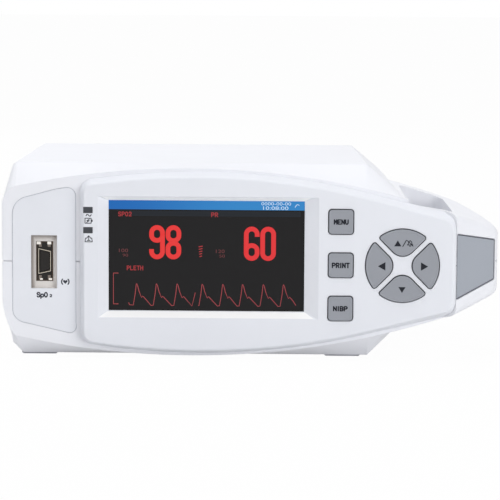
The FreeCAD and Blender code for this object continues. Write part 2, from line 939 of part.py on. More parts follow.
def speaker_ring():
    start = rear_inner - speaker_ring_depth
    room = speaker_radius + gap
    ring = front_rod(room + speaker_ring_wall, speaker_x, speaker_z, start, rear_inner)
    return ring.cut(front_rod(room, speaker_x, speaker_z, start - 1, rear_inner))


def battery_box():
    """Corners of the battery well: left, right, front, rear."""
    return (battery_x - battery_width / 2, battery_x + battery_width / 2, battery_front, battery_rear)


def battery_top():
    return z_bottom + door_thickness + battery_height


def contact_place(grow, z0, z1):
    """Block of the battery contacts, towards the rear of the battery's top."""
    middle = battery_box()[3] - contact_inset - contact_length / 2
    return box(battery_x - contact_width / 2 - grow, battery_x + contact_width / 2 + grow,
               middle - contact_length / 2 - grow, middle + contact_length / 2 + grow, z0, z1)


def battery_well(grow, z1):
    """Room of the battery, or with its wall added, the body that is hollowed for it."""
    left, right, front, rear = battery_box()
    side = gap + grow
    return box(left - side, right + side, front - side, rear + side, floor - 0.5, z1)


def foot_seats():
    seats = []
    for x, y in foot_places:
        seats.append(box(x - foot_width / 2 - run_gap, x + foot_width / 2 + run_gap,
                         y - foot_length / 2 - run_gap, y + foot_length / 2 + run_gap,
                         z_bottom - 1, z_bottom + foot_inset))
    return seats


def foot_pads(inner):
    """Thicker floor over the feet."""
    pads = []
    for x, y in foot_places:
        half_width = foot_width / 2 + foot_wall
        half_length = foot_length / 2 + foot_wall
        pads.append(box(x - half_width, x + half_width, y - half_length, y + half_length,
                        floor - 0.5, floor + foot_inset).common(inner))
    return pads


def case_halves():
    """Upper and lower case from one hollow shell, cut at the seam."""
    outer = case_solid(0)
    inner = case_solid(wall)
    skin = outer.cut(case_solid(seam_groove_depth))
    groove = skin.common(box(-beyond, beyond, -beyond, beyond, seam_height - seam_groove / 2,
                             seam_height + seam_groove / 2))
    shell = outer.cut(inner)
    shell = add(shell, case_bosses(inner) + [plate_ledge(inner), alarm_rim(inner)] + foot_pads(inner))
    cuts = front_openings() + alarm_pocket() + screw_holes() + [printer_opening(), groove]
    cuts += rear_openings() + [slot_front_dip()]
    cuts.append(rod(port_barrel + 0.1, V(lens_left, port_y, port_z), V(box_inner_left + 1, port_y, port_z)))
    shell = carve(shell, cuts)
    upper = shell.common(box(-beyond, beyond, -beyond, beyond, seam_height, beyond))
    upper = carve(upper.fuse(speaker_ring()), grille_slots())
    lower = shell.common(box(-beyond, beyond, -beyond, beyond, -beyond, seam_height))
    left, right, front, rear = battery_box()
    rim = battery_well(door_lap + well_wall, floor + rim_height)
    roof = battery_top() + gap
    lower = add(lower, [rim, battery_well(well_wall, roof + well_wall)] + chassis_pads())
    seat = box(left - gap - door_lap, right + gap + door_lap, front - gap - door_lap,
               rear + gap + door_lap, 0, z_bottom + door_thickness)
    lower = carve(lower, [battery_well(0, roof), seat, contact_place(gap, roof - 1, roof + 3)])
    lower = carve(lower, foot_seats())
    return upper.removeSplitter(), lower.removeSplitter()


def chassis_pads():
    pads = []
    y = chassis_y - chassis_foot / 2
    for x in (chassis_left + chassis_pad_inset, (chassis_left + chassis_right) / 2,
              chassis_right - chassis_pad_inset):
        pads.append(drop_rod(chassis_pad_radius, x, y, floor - 0.5, floor + chassis_pad))
    return pads


def case_screws():
    screws = []
    seat = seam_height - screw_length / 2
    for x, y in boss_places:
        shank = drop_rod(screw_radius, x, y, seat, seam_height + screw_length / 2)
        head = drop_rod(screw_head, x, y, seat - screw_head_height, seat)
        drive = drop_rod(screw_radius, x, y, seat - screw_head_height - 1, seat - screw_head_height / 2)
        screws.append(join(shank, head).cut(drive))
    return Part.makeCompound(screws)


def rubber_feet():
    feet = []
    for x, y in foot_places:
        foot = box(x - foot_width / 2, x + foot_width / 2, y - foot_length / 2, y + foot_length / 2,
                   0, z_bottom + foot_inset)
        feet.append(foot.makeChamfer(foot_edge, edges_where(foot, lambda edge: edge.BoundBox.ZMax < 0.01)))
    return Part.makeCompound(feet)


# ---------------------------------------------------------------- keys
def key_blank(points, mids):
    """A key from its outline: cap through the bezel, flange behind it, stem to the board."""
    cap_face = Part.Face(wire(points, mids, on_front(y_key)))
    flange_front = y_face + bezel_wall + slide_gap
    cap = cap_face.extrude(AXIS_Y * (flange_front - y_key + 0.2))
    cap = soften(cap, key_edge, lies_at_y(y_key))
    flange_face = Part.Face(wire(inset(points, -key_flange), mids, on_front(flange_front)))
    return join(cap, flange_face.extrude(AXIS_Y * key_flange_thickness))


def stem(x, z):
    flange_rear = y_face + bezel_wall + slide_gap + key_flange_thickness
    return front_rod(stem_radius, x, z, flange_rear - 0.2, mat_front() + mat_thickness - key_travel - air)


def mat_front():
    return y_face + bezel_wall + slide_gap + key_flange_thickness + key_travel + air


def square_outline(z):
    half = key_size / 2
    return rounded(key_x - half, key_x + half, z - half, z + half, key_corner)


def square_key(z):
    points, mids = square_outline(z)
    return join(key_blank(points, mids), stem(key_x, z))


def sector_outline(angle, grow):
    """One quarter of the round pad, turned to its place; grow makes its hole.

    The quarter's two straight sides run at 45 degrees.  Each corner is an arc
    that touches a side and the round outside.
    """
    radius = pad_radius + grow
    corner = pad_outer_corner + grow
    tip = (pad_gap / 2 - grow) * math.sqrt(2)
    apex = pad_apex_radius + grow
    centre = tip + apex * math.sqrt(2)
    shift = tip + corner * math.sqrt(2)
    corner_z = (math.sqrt(2 * (radius - corner) ** 2 - shift ** 2) - shift) / 2
    corner_x = corner_z + shift
    outward = math.atan2(corner_z, corner_x)
    bend = (math.radians(135) + outward) / 2
    upper = [
        (radius * math.cos(outward), radius * math.sin(outward)),
        (corner_x + corner * math.cos(bend), corner_z + corner * math.sin(bend)),
        (corner_x - corner * slant, corner_z + corner * slant),
        (centre - apex * slant, apex * slant),
    ]
    lower = [(x, -z) for x, z in reversed(upper)]
    flat = lower[1:] + [(radius, 0.0)] + upper + [(centre - apex, 0.0), lower[0]]
    cos = math.cos(math.radians(angle))
    sin = math.sin(math.radians(angle))
    return [(pad_x + x * cos - z * sin, face_z + x * sin + z * cos) for x, z in flat]


sector_mids = (1, 3, 5, 8)
sector_names = (("right_key", 0), ("up_key", 90), ("left_key", 180), ("down_key", 270))
square_names = (("menu_key", 1), ("print_key", 0), ("pressure_key", -1))


def pad_stem_place(angle):
    reach = pad_radius * 0.62
    return (pad_x + reach * math.cos(math.radians(angle)),
            face_z + reach * math.sin(math.radians(angle)))


def sector_key(angle):
    x, z = pad_stem_place(angle)
    return join(key_blank(sector_outline(angle, 0), sector_mids), stem(x, z))


def stem_places():
    places = [(key_x, face_z + step * key_pitch) for name, step in square_names]
    return places + [pad_stem_place(angle) for name, angle in sector_names]


def board_posts():
    """Where the key board is screwed to the bezel."""
    across = pad_radius - 1.0
    return [(pad_x + side * across, face_z + level * across) for side in (-1, 1) for level in (-1, 1)]


def key_sheet(y0, y1):
    """Outline shared by the key mat and the key board."""
    half_height = key_pitch + key_size / 2 + key_board_margin
    return box(key_x - key_size / 2 - key_board_margin, pad_x + pad_radius + key_board_right, y0, y1,
               face_z - half_height, face_z + half_height)


def inside_bezel(shape):
    room = inset(ridge_outline(), bezel_wall + gap + 0.3)
    return shape.common(prism(room, ridge_mids, on_front(y_face), AXIS_Y * bezel_height * 2))


def key_mat():
    front = mat_front()
    mat = inside_bezel(key_sheet(front, front + mat_thickness))
    holes = [front_rod(stem_radius + 0.5, x, z, front - 1, front + 3) for x, z in stem_places()]
    holes += [front_rod(small_head + 1.0, x, z, front - 1, front + 3) for x, z in board_posts()]
    return mat.cut(holes)


def key_board():
    front = mat_front() + mat_thickness
    board = inside_bezel(key_sheet(front, front + board_thickness))
    board = board.cut([front_rod(small_screw_radius + hole_gap, x, z, front - 1, front + 3)
                       for x, z in board_posts()])
    rear = front + board_thickness
    header = box(pad_x - header_width / 2, pad_x + header_width / 2, rear, rear + header_depth,
                 face_z - header_height / 2, face_z + header_height / 2)
    return join(board, header)


# ---------------------------------------------------------------- bezel and display
def active_corners():
    return (active_x - active_width / 2, active_x + active_width / 2,
            active_z - active_height / 2, active_z + active_height / 2)


def rectangle(x0, x1, z0, z1, y):
    return Part.makePolygon([V(x0, y, z0), V(x1, y, z0), V(x1, y, z1), V(x0, y, z1), V(x0, y, z0)])


def window_well(grow, y0, y1):
    """Sloped well in front of the display."""
    x0, x1, z0, z1 = active_corners()
    front = rectangle(x0 - window_rim_left - grow, x1 + window_rim_right + grow,
                      z0 - window_rim_bottom - grow, z1 + window_rim_top + grow, y0)
    rear = rectangle(x0 - grow, x1 + grow, z0 - grow, z1 + grow, y1)
    return Part.makeLoft([front, rear], True, True)


def panel_corners():
    x0, x1, z0, z1 = active_corners()
    return (x0 - panel_border_side, x1 + panel_border_side, z0 - panel_border_bottom,
            z1 + panel_border_top)


def bracket_posts():
    """Screw places of the display bracket, below the panel and to its right."""
    x0, x1, z0, z1 = panel_corners()
    low = z0 - small_head - 1.0
    side = x1 + small_head + post_wall
    return [(x0 + bracket_ear_inset, low), (x1 - bracket_ear_inset, low),
            (side, z0 + bracket_ear_level), (side, z1 - bracket_ear_level)]


def bracket_front():
    return y_glass + glass_thickness + panel_thickness


def bezel_hook(x, top):
    """Snap hook that passes the case wall and catches behind it."""
    edge = bezel_wall + gap
    left = x - hook_width / 2
    right = x + hook_width / 2
    level = ridge_half - edge - arc_height(left, ridge_middle, ridge_radius)
    level = min(level, ridge_half - edge - arc_height(right, ridge_middle, ridge_radius))
    catch = y_wall + wall + hole_gap
    leg = box(left, right, y_face + bezel_wall - 0.3, catch + hook_thickness, level - hook_thickness, level)
    nose = box(left, right, catch, catch + hook_thickness, level - hook_thickness, level + hook_catch)
    hook = join(leg, nose)
    hook.translate(V(0, 0, face_z))
    if not top:
        hook = hook.mirror(V(0, 0, face_z), AXIS_Z)
    return hook


def status_place(z, grow, y0, y1):
    return box(status_x - status_width / 2 - grow, status_x + status_width / 2 + grow, y0, y1,
               z - status_height / 2 - grow, z + status_height / 2 + grow)


def front_bezel():
    face = wire(ridge_outline(), ridge_mids, on_front(y_face))
    foot = wire(flank_outline(), ridge_mids, on_front(y_wall))
    body = Part.makeLoft([foot, face], True, True)
    body = soften(body, ridge_round, lies_at_y(y_face))
    kept = [(-2 * beyond, -beyond), (cheek_along - gap, -beyond), (cheek_along - gap, beyond),
            (-2 * beyond, beyond)]
    body = body.common(slant_prism(kept, -beyond, 2 * beyond))
    y_in = y_face + bezel_wall
    hollow = prism(inset(ridge_outline(), bezel_wall), ridge_mids, on_front(y_in),
                   AXIS_Y * (bezel_height - bezel_wall + 1))
    shell = body.cut(hollow)
    x0, x1, z0, z1 = active_corners()
    well = box(x0 - window_rim_left - window_wall, x1 + window_rim_right + 0.2, y_face + ridge_round,
               y_glass, z0 - window_rim_bottom - window_wall, z1 + window_rim_top + window_wall)
    well = well.common(body)
    posts = [front_rod(small_head + post_wall, x, z, y_in - 0.3, mat_front() + mat_thickness)
             for x, z in board_posts()]
    posts += [front_rod(small_head, x, z, y_in - 0.3, bracket_front()) for x, z in bracket_posts()]
    hooks_x = [active_x + place for place in hook_places]
    hooks = [bezel_hook(x, top) for x in hooks_x for top in (True, False)]
    shell = shell.fuse([well] + posts + hooks)
    cuts = [window_well(0, y_face, y_glass - lip), box(x0, x1, y_face, y_glass + 1, z0, z1)]
    for name, step in square_names:
        points, mids = square_outline(face_z + step * key_pitch)
        hole = inset(points, -key_gap)
        cuts.append(prism(hole, mids, on_front(y_face - 1), AXIS_Y * (bezel_wall + 2)))
    for name, angle in sector_names:
        cuts.append(prism(sector_outline(angle, key_gap), sector_mids, on_front(y_face - 1),
                          AXIS_Y * (bezel_wall + 2)))
    cuts += [status_place(z, 0.05, y_face - 1, y_face + status_depth) for z in status_levels]
    cuts += [front_rod(small_screw_radius + 0.05, x, z, y_in + 0.2, y_wall + 4)
             for x, z in board_posts() + bracket_posts()]
    return shell.cut(cuts).removeSplitter()


def display_window():
    x0, x1, z0, z1 = active_corners()
    return box(x0 - glass_margin, x1 + glass_margin, y_glass, y_glass + glass_thickness,
               z0 - glass_margin, z1 + glass_margin)


def lcd_panel():
    x0, x1, z0, z1 = panel_corners()
    y0 = y_glass + glass_thickness
    panel = box(x0, x1, y0, y0 + panel_thickness, z0, z1)
    return panel.makeFillet(panel_edge, edges_where(panel, lambda edge: edge.BoundBox.YLength > 1))


def lcd_bracket():
    """Sheet tray behind the panel with ears on the bezel's posts."""
    x0, x1, z0, z1 = panel_corners()
    y0 = bracket_front()
    tray = box(x0, x1, y0, y0 + bracket_thickness, z0, z1)
    border = bracket_border
    tray = tray.cut(box(x0 + border, x1 - border, y0 - 1, y0 + 3, z0 + border, z1 - border))
    rib = box(active_x - bracket_rib / 2, active_x + bracket_rib / 2, y0, y0 + bracket_thickness,
              z0 + border - 1, z1 - border + 1)
    ears = []
    holes = []
    for x, z in bracket_posts():
        ears.append(front_rod(small_head, x, z, y0, y0 + bracket_thickness))
        toward_x = min(max(x, x0), x1)
        toward_z = min(max(z, z0), z1)
        ears.append(box(min(x, toward_x - small_head), max(x, toward_x + small_head), y0,
                        y0 + bracket_thickness, min(z, toward_z - small_head), max(z, toward_z + small_head)))
        holes.append(front_rod(small_screw_radius + hole_gap, x, z, y0 - 1, y0 + 3))
    return join(tray, rib, *ears).cut(holes)


def status_light_pipes():
    return Part.makeCompound([status_place(z, 0, y_face, y_face + status_depth)
                              for z in status_levels])


def status_board():
    y0 = y_face + status_depth
    left = ridge_left + bezel_wall + gap
    return box(left, panel_corners()[0] - gap, y0, y0 + status_board_thickness,
               min(status_levels) - status_board_margin, max(status_levels) + status_board_margin)


def board_screws():
    """Small screws of the key board, the display bracket and the sensor board."""
    places = [(x, z, mat_front() + mat_thickness + board_thickness) for x, z in board_posts()]
    places += [(x, z, bracket_front() + bracket_thickness) for x, z in bracket_posts()]
    places += [(x, z, sensor_board_front() + board_thickness) for x, z in sensor_posts()]
    screws = []
    for x, z, y in places:
        shank = front_rod(small_screw_radius, x, z, y - small_screw_length, y)
        screws.append(join(shank, front_rod(small_head - hole_gap, x, z, y, y + small_head_height)))
    return Part.makeCompound(screws)


# ---------------------------------------------------------------- sensor plate and socket
def recess_box(grow, y0, y1):
    return box(recess_x - recess_width / 2 - grow, recess_x + recess_width / 2 + grow, y0, y1,
               recess_z - recess_height / 2 - grow, recess_z + recess_height / 2 + grow)


def socket_front():
    return y_wall + recess_depth - socket_proud


def sensor_board_front():
    return socket_front() + socket_depth + sensor_board_gap


def sensor_posts():
    left = plate_left + sensor_post_left
    right = plate_right - sensor_post_right
    return [(x, face_z + level) for x in (left, right) for level in sensor_post_levels]


def socket_hole(grow, y0, y1):
    return box(recess_x - socket_width / 2 - grow, recess_x + socket_width / 2 + grow, y0, y1,
               recess_z - socket_height / 2 - grow, recess_z + socket_height / 2 + grow)


def sensor_plate():
    plate = prism(plate_outline(), plate_mids, on_front(y_wall), AXIS_Y * plate_thickness)
    floor_rear = y_wall + recess_depth + recess_floor
    well = recess_box(recess_wall, y_wall + 1, floor_rear)
    posts = [front_rod(small_head + 0.4, x, z, y_wall + 1, sensor_board_front())
             for x, z in sensor_posts()]
    plate = plate.fuse([well] + posts)
    cuts = [recess_box(0, y_wall - 1, y_wall + recess_depth), socket_hole(0.1, y_wall, floor_rear + 1)]
    cuts += [front_rod(small_screw_radius + 0.05, x, z, y_wall + plate_thickness, sensor_board_front() + 1)
             for x, z in sensor_posts()]
    return plate.cut(cuts).removeSplitter()


def mouth_outline(grow):
    """D-shaped mouth: long side to the left, short side to the right."""
    half = mouth_width / 2 + grow
    long_half = mouth_height / 2 + grow
    short_half = mouth_short / 2 + grow
    return [
        (recess_x - half, recess_z - long_half), (recess_x + half, recess_z - short_half),
        (recess_x + half, recess_z + short_half), (recess_x - half, recess_z + long_half),
    ]


def socket_shell():
    y0 = socket_front()
    y1 = y0 + socket_depth
    frame = socket_hole(0, y0, y1).cut(socket_hole(-socket_sheet, y0 - 1, y1 - 1.2))
    ring = prism(mouth_outline(mouth_sheet), (), on_front(y0), AXIS_Y * (socket_depth - 1))
    shell = join(frame, ring)
    return shell.cut(prism(mouth_outline(0), (), on_front(y0 - 1), AXIS_Y * (socket_depth + 2)))


def socket_core():
    """Dark insulator: a base that fills the mouth's bottom and the tongue that carries contacts."""
    y0 = socket_front()
    base = prism(mouth_outline(-0.02), (), on_front(y0 + socket_depth - core_base), AXIS_Y * core_base)
    tongue = box(recess_x - tongue_thickness / 2, recess_x + tongue_thickness / 2, y0 + 0.8,
                 y0 + socket_depth - core_base + 0.2,
                 recess_z - mouth_short / 2 + 0.3, recess_z + mouth_short / 2 - 0.3)
    foot = box(recess_x - socket_width / 2, recess_x + socket_width / 2, y0 + socket_depth,
               sensor_board_front(), recess_z - socket_height / 2, recess_z + socket_height / 2)
    return join(base, tongue, foot)


def socket_contacts():
    y0 = socket_front() + 1.2
    strips = []
    for side in (-1, 1):
        x = recess_x + side * tongue_thickness / 2
        for index in range(contact_count):
            z = recess_z + (index - (contact_count - 1) / 2) * contact_pitch
            strips.append(box(min(x, x + side * contact_thickness), max(x, x + side * contact_thickness),
                              y0, socket_front() + socket_depth - core_base, z - contact_size / 2,
                              z + contact_size / 2))
    return Part.makeCompound(strips)


def socket_latches():
    """Bright spring tabs above and below the mouth."""
    y0 = socket_front()
    tabs = []
    for side in (-1, 1):
        low = recess_z + side * (mouth_height / 2 + latch_start)
        high = recess_z + side * (socket_height / 2 - socket_sheet - 0.1)
        tab = box(recess_x - latch_width / 2, recess_x + latch_width / 2, y0 + 0.4,
                  y0 + socket_depth - 1.2, min(low, high), max(low, high))
        slit = box(recess_x - latch_slit / 2, recess_x + latch_slit / 2, y0, y0 + latch_reach,
                   min(low, high) - 1, max(low, high) + 1)
        tabs.append(tab.cut(slit))
    return Part.makeCompound(tabs)


def sensor_board():
    """Oxygen measuring board, carried on the plate's posts with the socket on its front."""
    y0 = sensor_board_front()
    left = sensor_posts()[0][0] - sensor_board_margin
    right = sensor_posts()[-1][0] + sensor_board_margin
    low, high = (face_z + level for level in sensor_board_levels)
    board = box(left, right, y0, y0 + board_thickness, low, high)
    board = board.cut([front_rod(small_screw_radius + hole_gap, x, z, y0 - 1, y0 + 3)
                       for x, z in sensor_posts()])
    rear = y0 + board_thickness
    inset_x = sensor_shield_inset
    low, high = (face_z + level for level in sensor_shield_levels)
    shield = box(left + inset_x, right - inset_x, rear, rear + sensor_shield_depth, low, high)
    low, high = (face_z + level for level in sensor_header_levels)
    header = box(left + inset_x + 1, right - inset_x - 1, rear, rear + sensor_header_depth, low, high)
    return join(board, shield, header)


# ---------------------------------------------------------------- printer
def gear(teeth, shift_angle, x, z, y0):
    """Involute spur gear about an axis along Y; shift_angle turns one tooth from +X."""
    pitch_radius = gear_module * teeth / 2
    base = pitch_radius * math.cos(math.radians(20))
    tip_radius = pitch_radius + 0.95 * gear_module
    root_radius = pitch_radius - 1.25 * gear_module
    start_radius = max(base, root_radius + 0.05)

    def roll(radius):
        pressure = math.acos(base / radius)
        return math.tan(pressure) - pressure

    half_tooth = math.pi / (2 * teeth) - gear_backlash / (2 * pitch_radius) + roll(pitch_radius)
    flank = []
    for step in range(5):
        radius = start_radius + (tip_radius - start_radius) * step / 4
        flank.append((radius, half_tooth - roll(radius)))
    points = []
    for index in range(teeth):
        centre = 2 * math.pi * index / teeth + math.radians(shift_angle)
        outline = [(root_radius, -flank[0][1])] + [(radius, -angle) for radius, angle in flank]
        outline += [(radius, angle) for radius, angle in reversed(flank)] + [(root_radius, flank[0][1])]
        for radius, angle in outline:
            points.append(V(x + radius * math.cos(centre + angle), y0,
                            z + radius * math.sin(centre + angle)))
    points.append(points[0])
    return Part.Face(Part.makePolygon(points)).extrude(AXIS_Y * gear_width)


def gear_y():
    return printer_y + arm_outer() + gap


def arm_outer():
    return platen_half + 0.4 + arm_thickness


def drive_x():
    return platen_x + gear_module * (platen_teeth + drive_teeth) / 2 + gear_play


def frame_rear():
    return roll_x + roll_radius + roll_clearance + frame_wall


def head_front():
    return platen_x + platen_radius + gap


def across(half, x0, x1, z0, z1):
    """Box centred on the printer, half wide each way."""
    return box(x0, x1, printer_y - half, printer_y + half, z0, z1)


def cross_rod(radius, x, z, half):
    return front_rod(radius, x, z, printer_y - half, printer_y + half)


def printer_frame():
    front = box_inner_left
    low = door_pivot_z - door_knuckle - 0.4
    high = door_top + 2.2
    outer_half = frame_half + frame_wall
    rear = frame_rear()
    bucket = across(outer_half, front, rear, low - frame_wall, high + frame_wall)
    rim = frame_wall + frame_flange
    flange = across(outer_half + frame_flange, front, front + frame_flange_thickness, low - rim, high + rim)
    bay_rear = box_left + wall + arm_reach + 0.6
    bay = across(frame_half, front - 1, bay_rear, low, high)
    hold = roll_radius + roll_clearance
    roll_bay = cross_rod(hold, roll_x, roll_z, roll_half + gap)
    mouth = across(roll_half + gap, front, roll_x, roll_z - hold, roll_z + hold)
    head_pocket = across(platen_half + 0.2, head_front(), head_front() + head_thickness,
                         platen_z - head_half_height - 0.2, platen_z + head_half_height + 0.2)
    approach = across(platen_half + 0.2, bay_rear - 1, head_front() + 0.1,
                      platen_z - head_half_height - 0.2, platen_z + head_half_height + 0.2)
    tip_radius = gear_module * (drive_teeth / 2 + 1) + 0.5
    gear_room = front_rod(tip_radius, drive_x(), platen_z, gear_y() - 0.3, printer_y + frame_half)
    gear_slot = box(platen_x, drive_x(), gear_y() - 0.3, printer_y + frame_half,
                    platen_z - tip_radius, platen_z + tip_radius)
    shaft_hole = front_rod(drive_shaft + gap, drive_x(), platen_z, printer_y + frame_half - 1,
                           printer_y + outer_half + 1)
    pin_hole = cross_rod(hinge_pin_radius + 0.01, door_pivot_x, door_pivot_z, outer_half + 1)
    lighten = across(frame_half - 4, roll_x + 12, rear + 1, roll_z + hold + 3, high - 1)
    frame = join(bucket, flange)
    return frame.cut([bay, roll_bay, mouth, head_pocket, approach, gear_room, gear_slot, shaft_hole,
                      pin_hole, lighten]).removeSplitter()


def printer_door():
    panel = across(door_half, box_left, box_inner_left, door_pivot_z, door_top)
    knuckle = cross_rod(door_knuckle, door_pivot_x, door_pivot_z, door_half)
    grip = across(grip_half, box_left - grip_proud, box_left, door_top - grip_levels[0],
                  door_top - grip_levels[1])
    grip = grip.makeFillet(grip_edge, edges_where(grip, lambda edge: edge.BoundBox.XMax < box_left - 1))
    parts = [knuckle, grip]
    for side in (-1, 1):
        inner = printer_y + side * (platen_half + 0.4)
        outer = printer_y + side * arm_outer()
        parts.append(box(box_inner_left - 0.5, box_inner_left + arm_reach, min(inner, outer),
                         max(inner, outer), arm_low, arm_high))
    door = join(panel, *parts)
    bores = [cross_rod(platen_shaft + run_gap, platen_x, platen_z, door_half),
             cross_rod(hinge_pin_radius + run_gap, door_pivot_x, door_pivot_z, door_half + 1)]
    return door.cut(bores)


def door_hinge_pin():
    return cross_rod(hinge_pin_radius, door_pivot_x, door_pivot_z, frame_half + frame_wall)


def platen_roller():
    rubber = cross_rod(platen_radius, platen_x, platen_z, platen_half)
    left = printer_y - arm_outer() - 0.4
    right = gear_y() + gear_width
    return join(rubber, front_rod(platen_shaft, platen_x, platen_z, left, right))


def platen_gear():
    wheel = gear(platen_teeth, 0, platen_x, platen_z, gear_y())
    return wheel.cut(front_rod(platen_shaft, platen_x, platen_z, gear_y() - 1, gear_y() + gear_width + 1))


def drive_gear():
    """Pinion with its shaft; a gap faces the platen gear's tooth."""
    shift = 180 - 180 / drive_teeth
    wheel = gear(drive_teeth, shift, drive_x(), platen_z, gear_y())
    shaft = front_rod(drive_shaft, drive_x(), platen_z, gear_y() + gear_width - 1,
                      printer_y + frame_half + frame_wall + drive_shaft_reach)
    return join(wheel, shaft)


def printer_motor():
    start = printer_y + frame_half + frame_wall
    ear_rear = start + motor_ear_thickness
    half = printer_motor_radius + motor_ear
    body = front_rod(printer_motor_radius, drive_x(), platen_z, ear_rear, start + printer_motor_length)
    ears = box(drive_x() - half, drive_x() + half, start, ear_rear, platen_z - motor_ear,
               platen_z + motor_ear)
    bore = front_rod(drive_shaft + run_gap, drive_x(), platen_z, start - 1, start + drive_shaft_reach + 1)
    return join(body, ears).cut(bore)


def print_head():
    x0 = head_front()
    plate = across(platen_half, x0, x0 + head_thickness, platen_z - head_half_height,
                   platen_z + head_half_height)
    glaze = cross_rod(head_glaze, x0 + head_glaze - 0.25, platen_z, platen_half - 1)
    band = across(platen_half, x0 - 0.2, x0 + head_glaze, platen_z - head_glaze_height,
                  platen_z + head_glaze_height)
    return join(plate, glaze.common(band))


def paper_roll():
    roll = cross_rod(roll_radius, roll_x, roll_z, roll_half)
    return roll.cut(cross_rod(roll_core, roll_x, roll_z, roll_half + 1))


# ---------------------------------------------------------------- pneumatics
def pump_z():
    return floor + pump_rise + pump_radius


def pressure_pump():
    shoulder = pump_x + pump_length * pump_head_share
    body = rod(pump_radius, V(pump_x, pump_y, pump_z()), V(shoulder, pump_y, pump_z()))
    motor = rod(pump_radius - pump_motor_step, V(shoulder - 1, pump_y, pump_z()),
                V(pump_x + pump_length, pump_y, pump_z()))
    nozzle = rod(pump_nozzle_radius, V(pump_x - pump_nozzle, pump_y, pump_z()),
                 V(pump_x + 1, pump_y, pump_z()))
    return join(body, motor, nozzle)


def pump_clamp():
    """Saddle plate on the floor with a strap over the pump."""
    x0 = pump_x + clamp_start
    x1 = x0 + clamp_width
    z = pump_z()
    outer = pump_radius + clamp_sheet
    ring = rod(outer, V(x0, pump_y, z), V(x1, pump_y, z))
    ring = ring.cut(box(x0 - 1, x1 + 1, pump_y - outer - 1, pump_y + outer + 1, z - outer - 1, z))
    legs = box(x0, x1, pump_y - outer, pump_y + outer, floor, z)
    feet = box(x0, x1, pump_y - outer - clamp_foot, pump_y + outer + clamp_foot, floor, floor + clamp_sheet)
    bore = rod(pump_radius + 0.02, V(x0 - 1, pump_y, z), V(x1 + 1, pump_y, z))
    return join(ring, legs, feet).cut(bore)


def manifold_left():
    return pump_x - pump_nozzle - manifold_length


def air_manifold():
    x0 = manifold_left()
    x1 = pump_x - pump_nozzle
    block = box(x0, x1, pump_y - manifold_front, port_y + manifold_rear, floor, port_z + manifold_rise)
    stub = rod(hose_inner, V(x0 - manifold_stub, port_y, port_z), V(x0 + 1, port_y, port_z))
    return join(block, stub)


def release_valve():
    x = manifold_left() + manifold_length / 2
    y = pump_y + valve_offset
    base = port_z + manifold_rise
    can = drop_rod(valve_radius, x, y, base, base + valve_height)
    stub = drop_rod(valve_stub_radius, x, y, base + valve_height - 1, base + valve_height + valve_stub)
    return join(can, stub)


def port_inner_end():
    return box_inner_left + port_reach


def cuff_port():
    """Air socket for the cuff hose, in the left side wall."""
    outer = box_left - port_proud
    flange = rod(port_flange, V(outer, port_y, port_z), V(box_left, port_y, port_z))
    barrel = rod(port_barrel, V(outer, port_y, port_z), V(port_inner_end(), port_y, port_z))
    nut = rod(port_barrel + port_nut, V(box_inner_left, port_y, port_z),
              V(box_inner_left + port_nut_thickness, port_y, port_z))
    barb = rod(hose_inner, V(port_inner_end() - 1, port_y, port_z),
               V(port_inner_end() + port_barb, port_y, port_z))
    bore = rod(port_bore, V(outer - 1, port_y, port_z), V(outer + port_bore_depth, port_y, port_z))
    duct = rod(port_duct, V(outer, port_y, port_z), V(port_inner_end() + port_barb + 1, port_y, port_z))
    port = join(flange, barrel, nut, barb)
    rim = edges_where(port, lambda edge: edge.BoundBox.XMax < outer + 0.01)
    return port.makeFillet(port_edge, rim).cut([bore, duct])


def air_hose():
    start = V(port_inner_end() + 0.1, port_y, port_z)
    end = V(manifold_left() - 0.1, port_y, port_z)
    return rod(hose_outer, start, end).cut(rod(hose_inner, start, end))


# ---------------------------------------------------------------- power and sound
def battery_pack():
    left, right, front, rear = battery_box()
    z0 = z_bottom + door_thickness
    play = battery_play
    pack = box(left + play, right - play, front + play, rear - play, z0 + play, z0 + battery_height)
    half_length = (rear - front) / 2
    return pack.makeFillet(battery_edge, edges_where(pack, lambda edge: edge.BoundBox.YLength > half_length))


def battery_contacts():
    """Contact block in the roof of the well, with three spring blades on the battery."""
    roof = battery_top() + gap + well_wall
    block = contact_place(0, battery_top() + 0.8, roof + contact_flange)
    flange = contact_place(2.0, roof, roof + contact_flange)
    place = block.BoundBox
    blades = []
    for step in (-1, 0, 1):
        x = battery_x + step * blade_pitch
        blades.append(box(x - blade_width / 2, x + blade_width / 2, place.YMin + contact_inset,
                          place.YMax - contact_inset, battery_top(), battery_top() + 1.2))
    return join(block, flange, *blades)


def battery_door():
    left, right, front, rear = battery_box()
    door = box(left - door_lap, right + door_lap, front - door_lap, rear + door_lap,
               z_bottom, z_bottom + door_thickness)
    width, length, depth = door_notch
    notch = box(battery_x - width / 2, battery_x + width / 2, front - 0.6, front - 0.6 + length,
                z_bottom - 1, z_bottom + depth)
    y = rear - door_screw_inset
    head_room = drop_rod(screw_head + hole_gap, battery_x, y, 0, z_bottom + small_head_height)
    return door.cut([notch, drop_rod(screw_radius + hole_gap, battery_x, y, 0, 2 * floor), head_room])


def battery_door_screw():
    y = battery_box()[3] - door_screw_inset
    head = drop_rod(screw_head, battery_x, y, z_bottom + 0.2, z_bottom + small_head_height)
    length, width, depth = coin_slot
    coin = box(battery_x - length / 2, battery_x + length / 2, y - width / 2, y + width / 2, z_bottom,
               z_bottom + depth)
    shank = drop_rod(screw_radius, battery_x, y, z_bottom + 1, z_bottom + door_thickness)
    return join(head, shank).cut(coin)


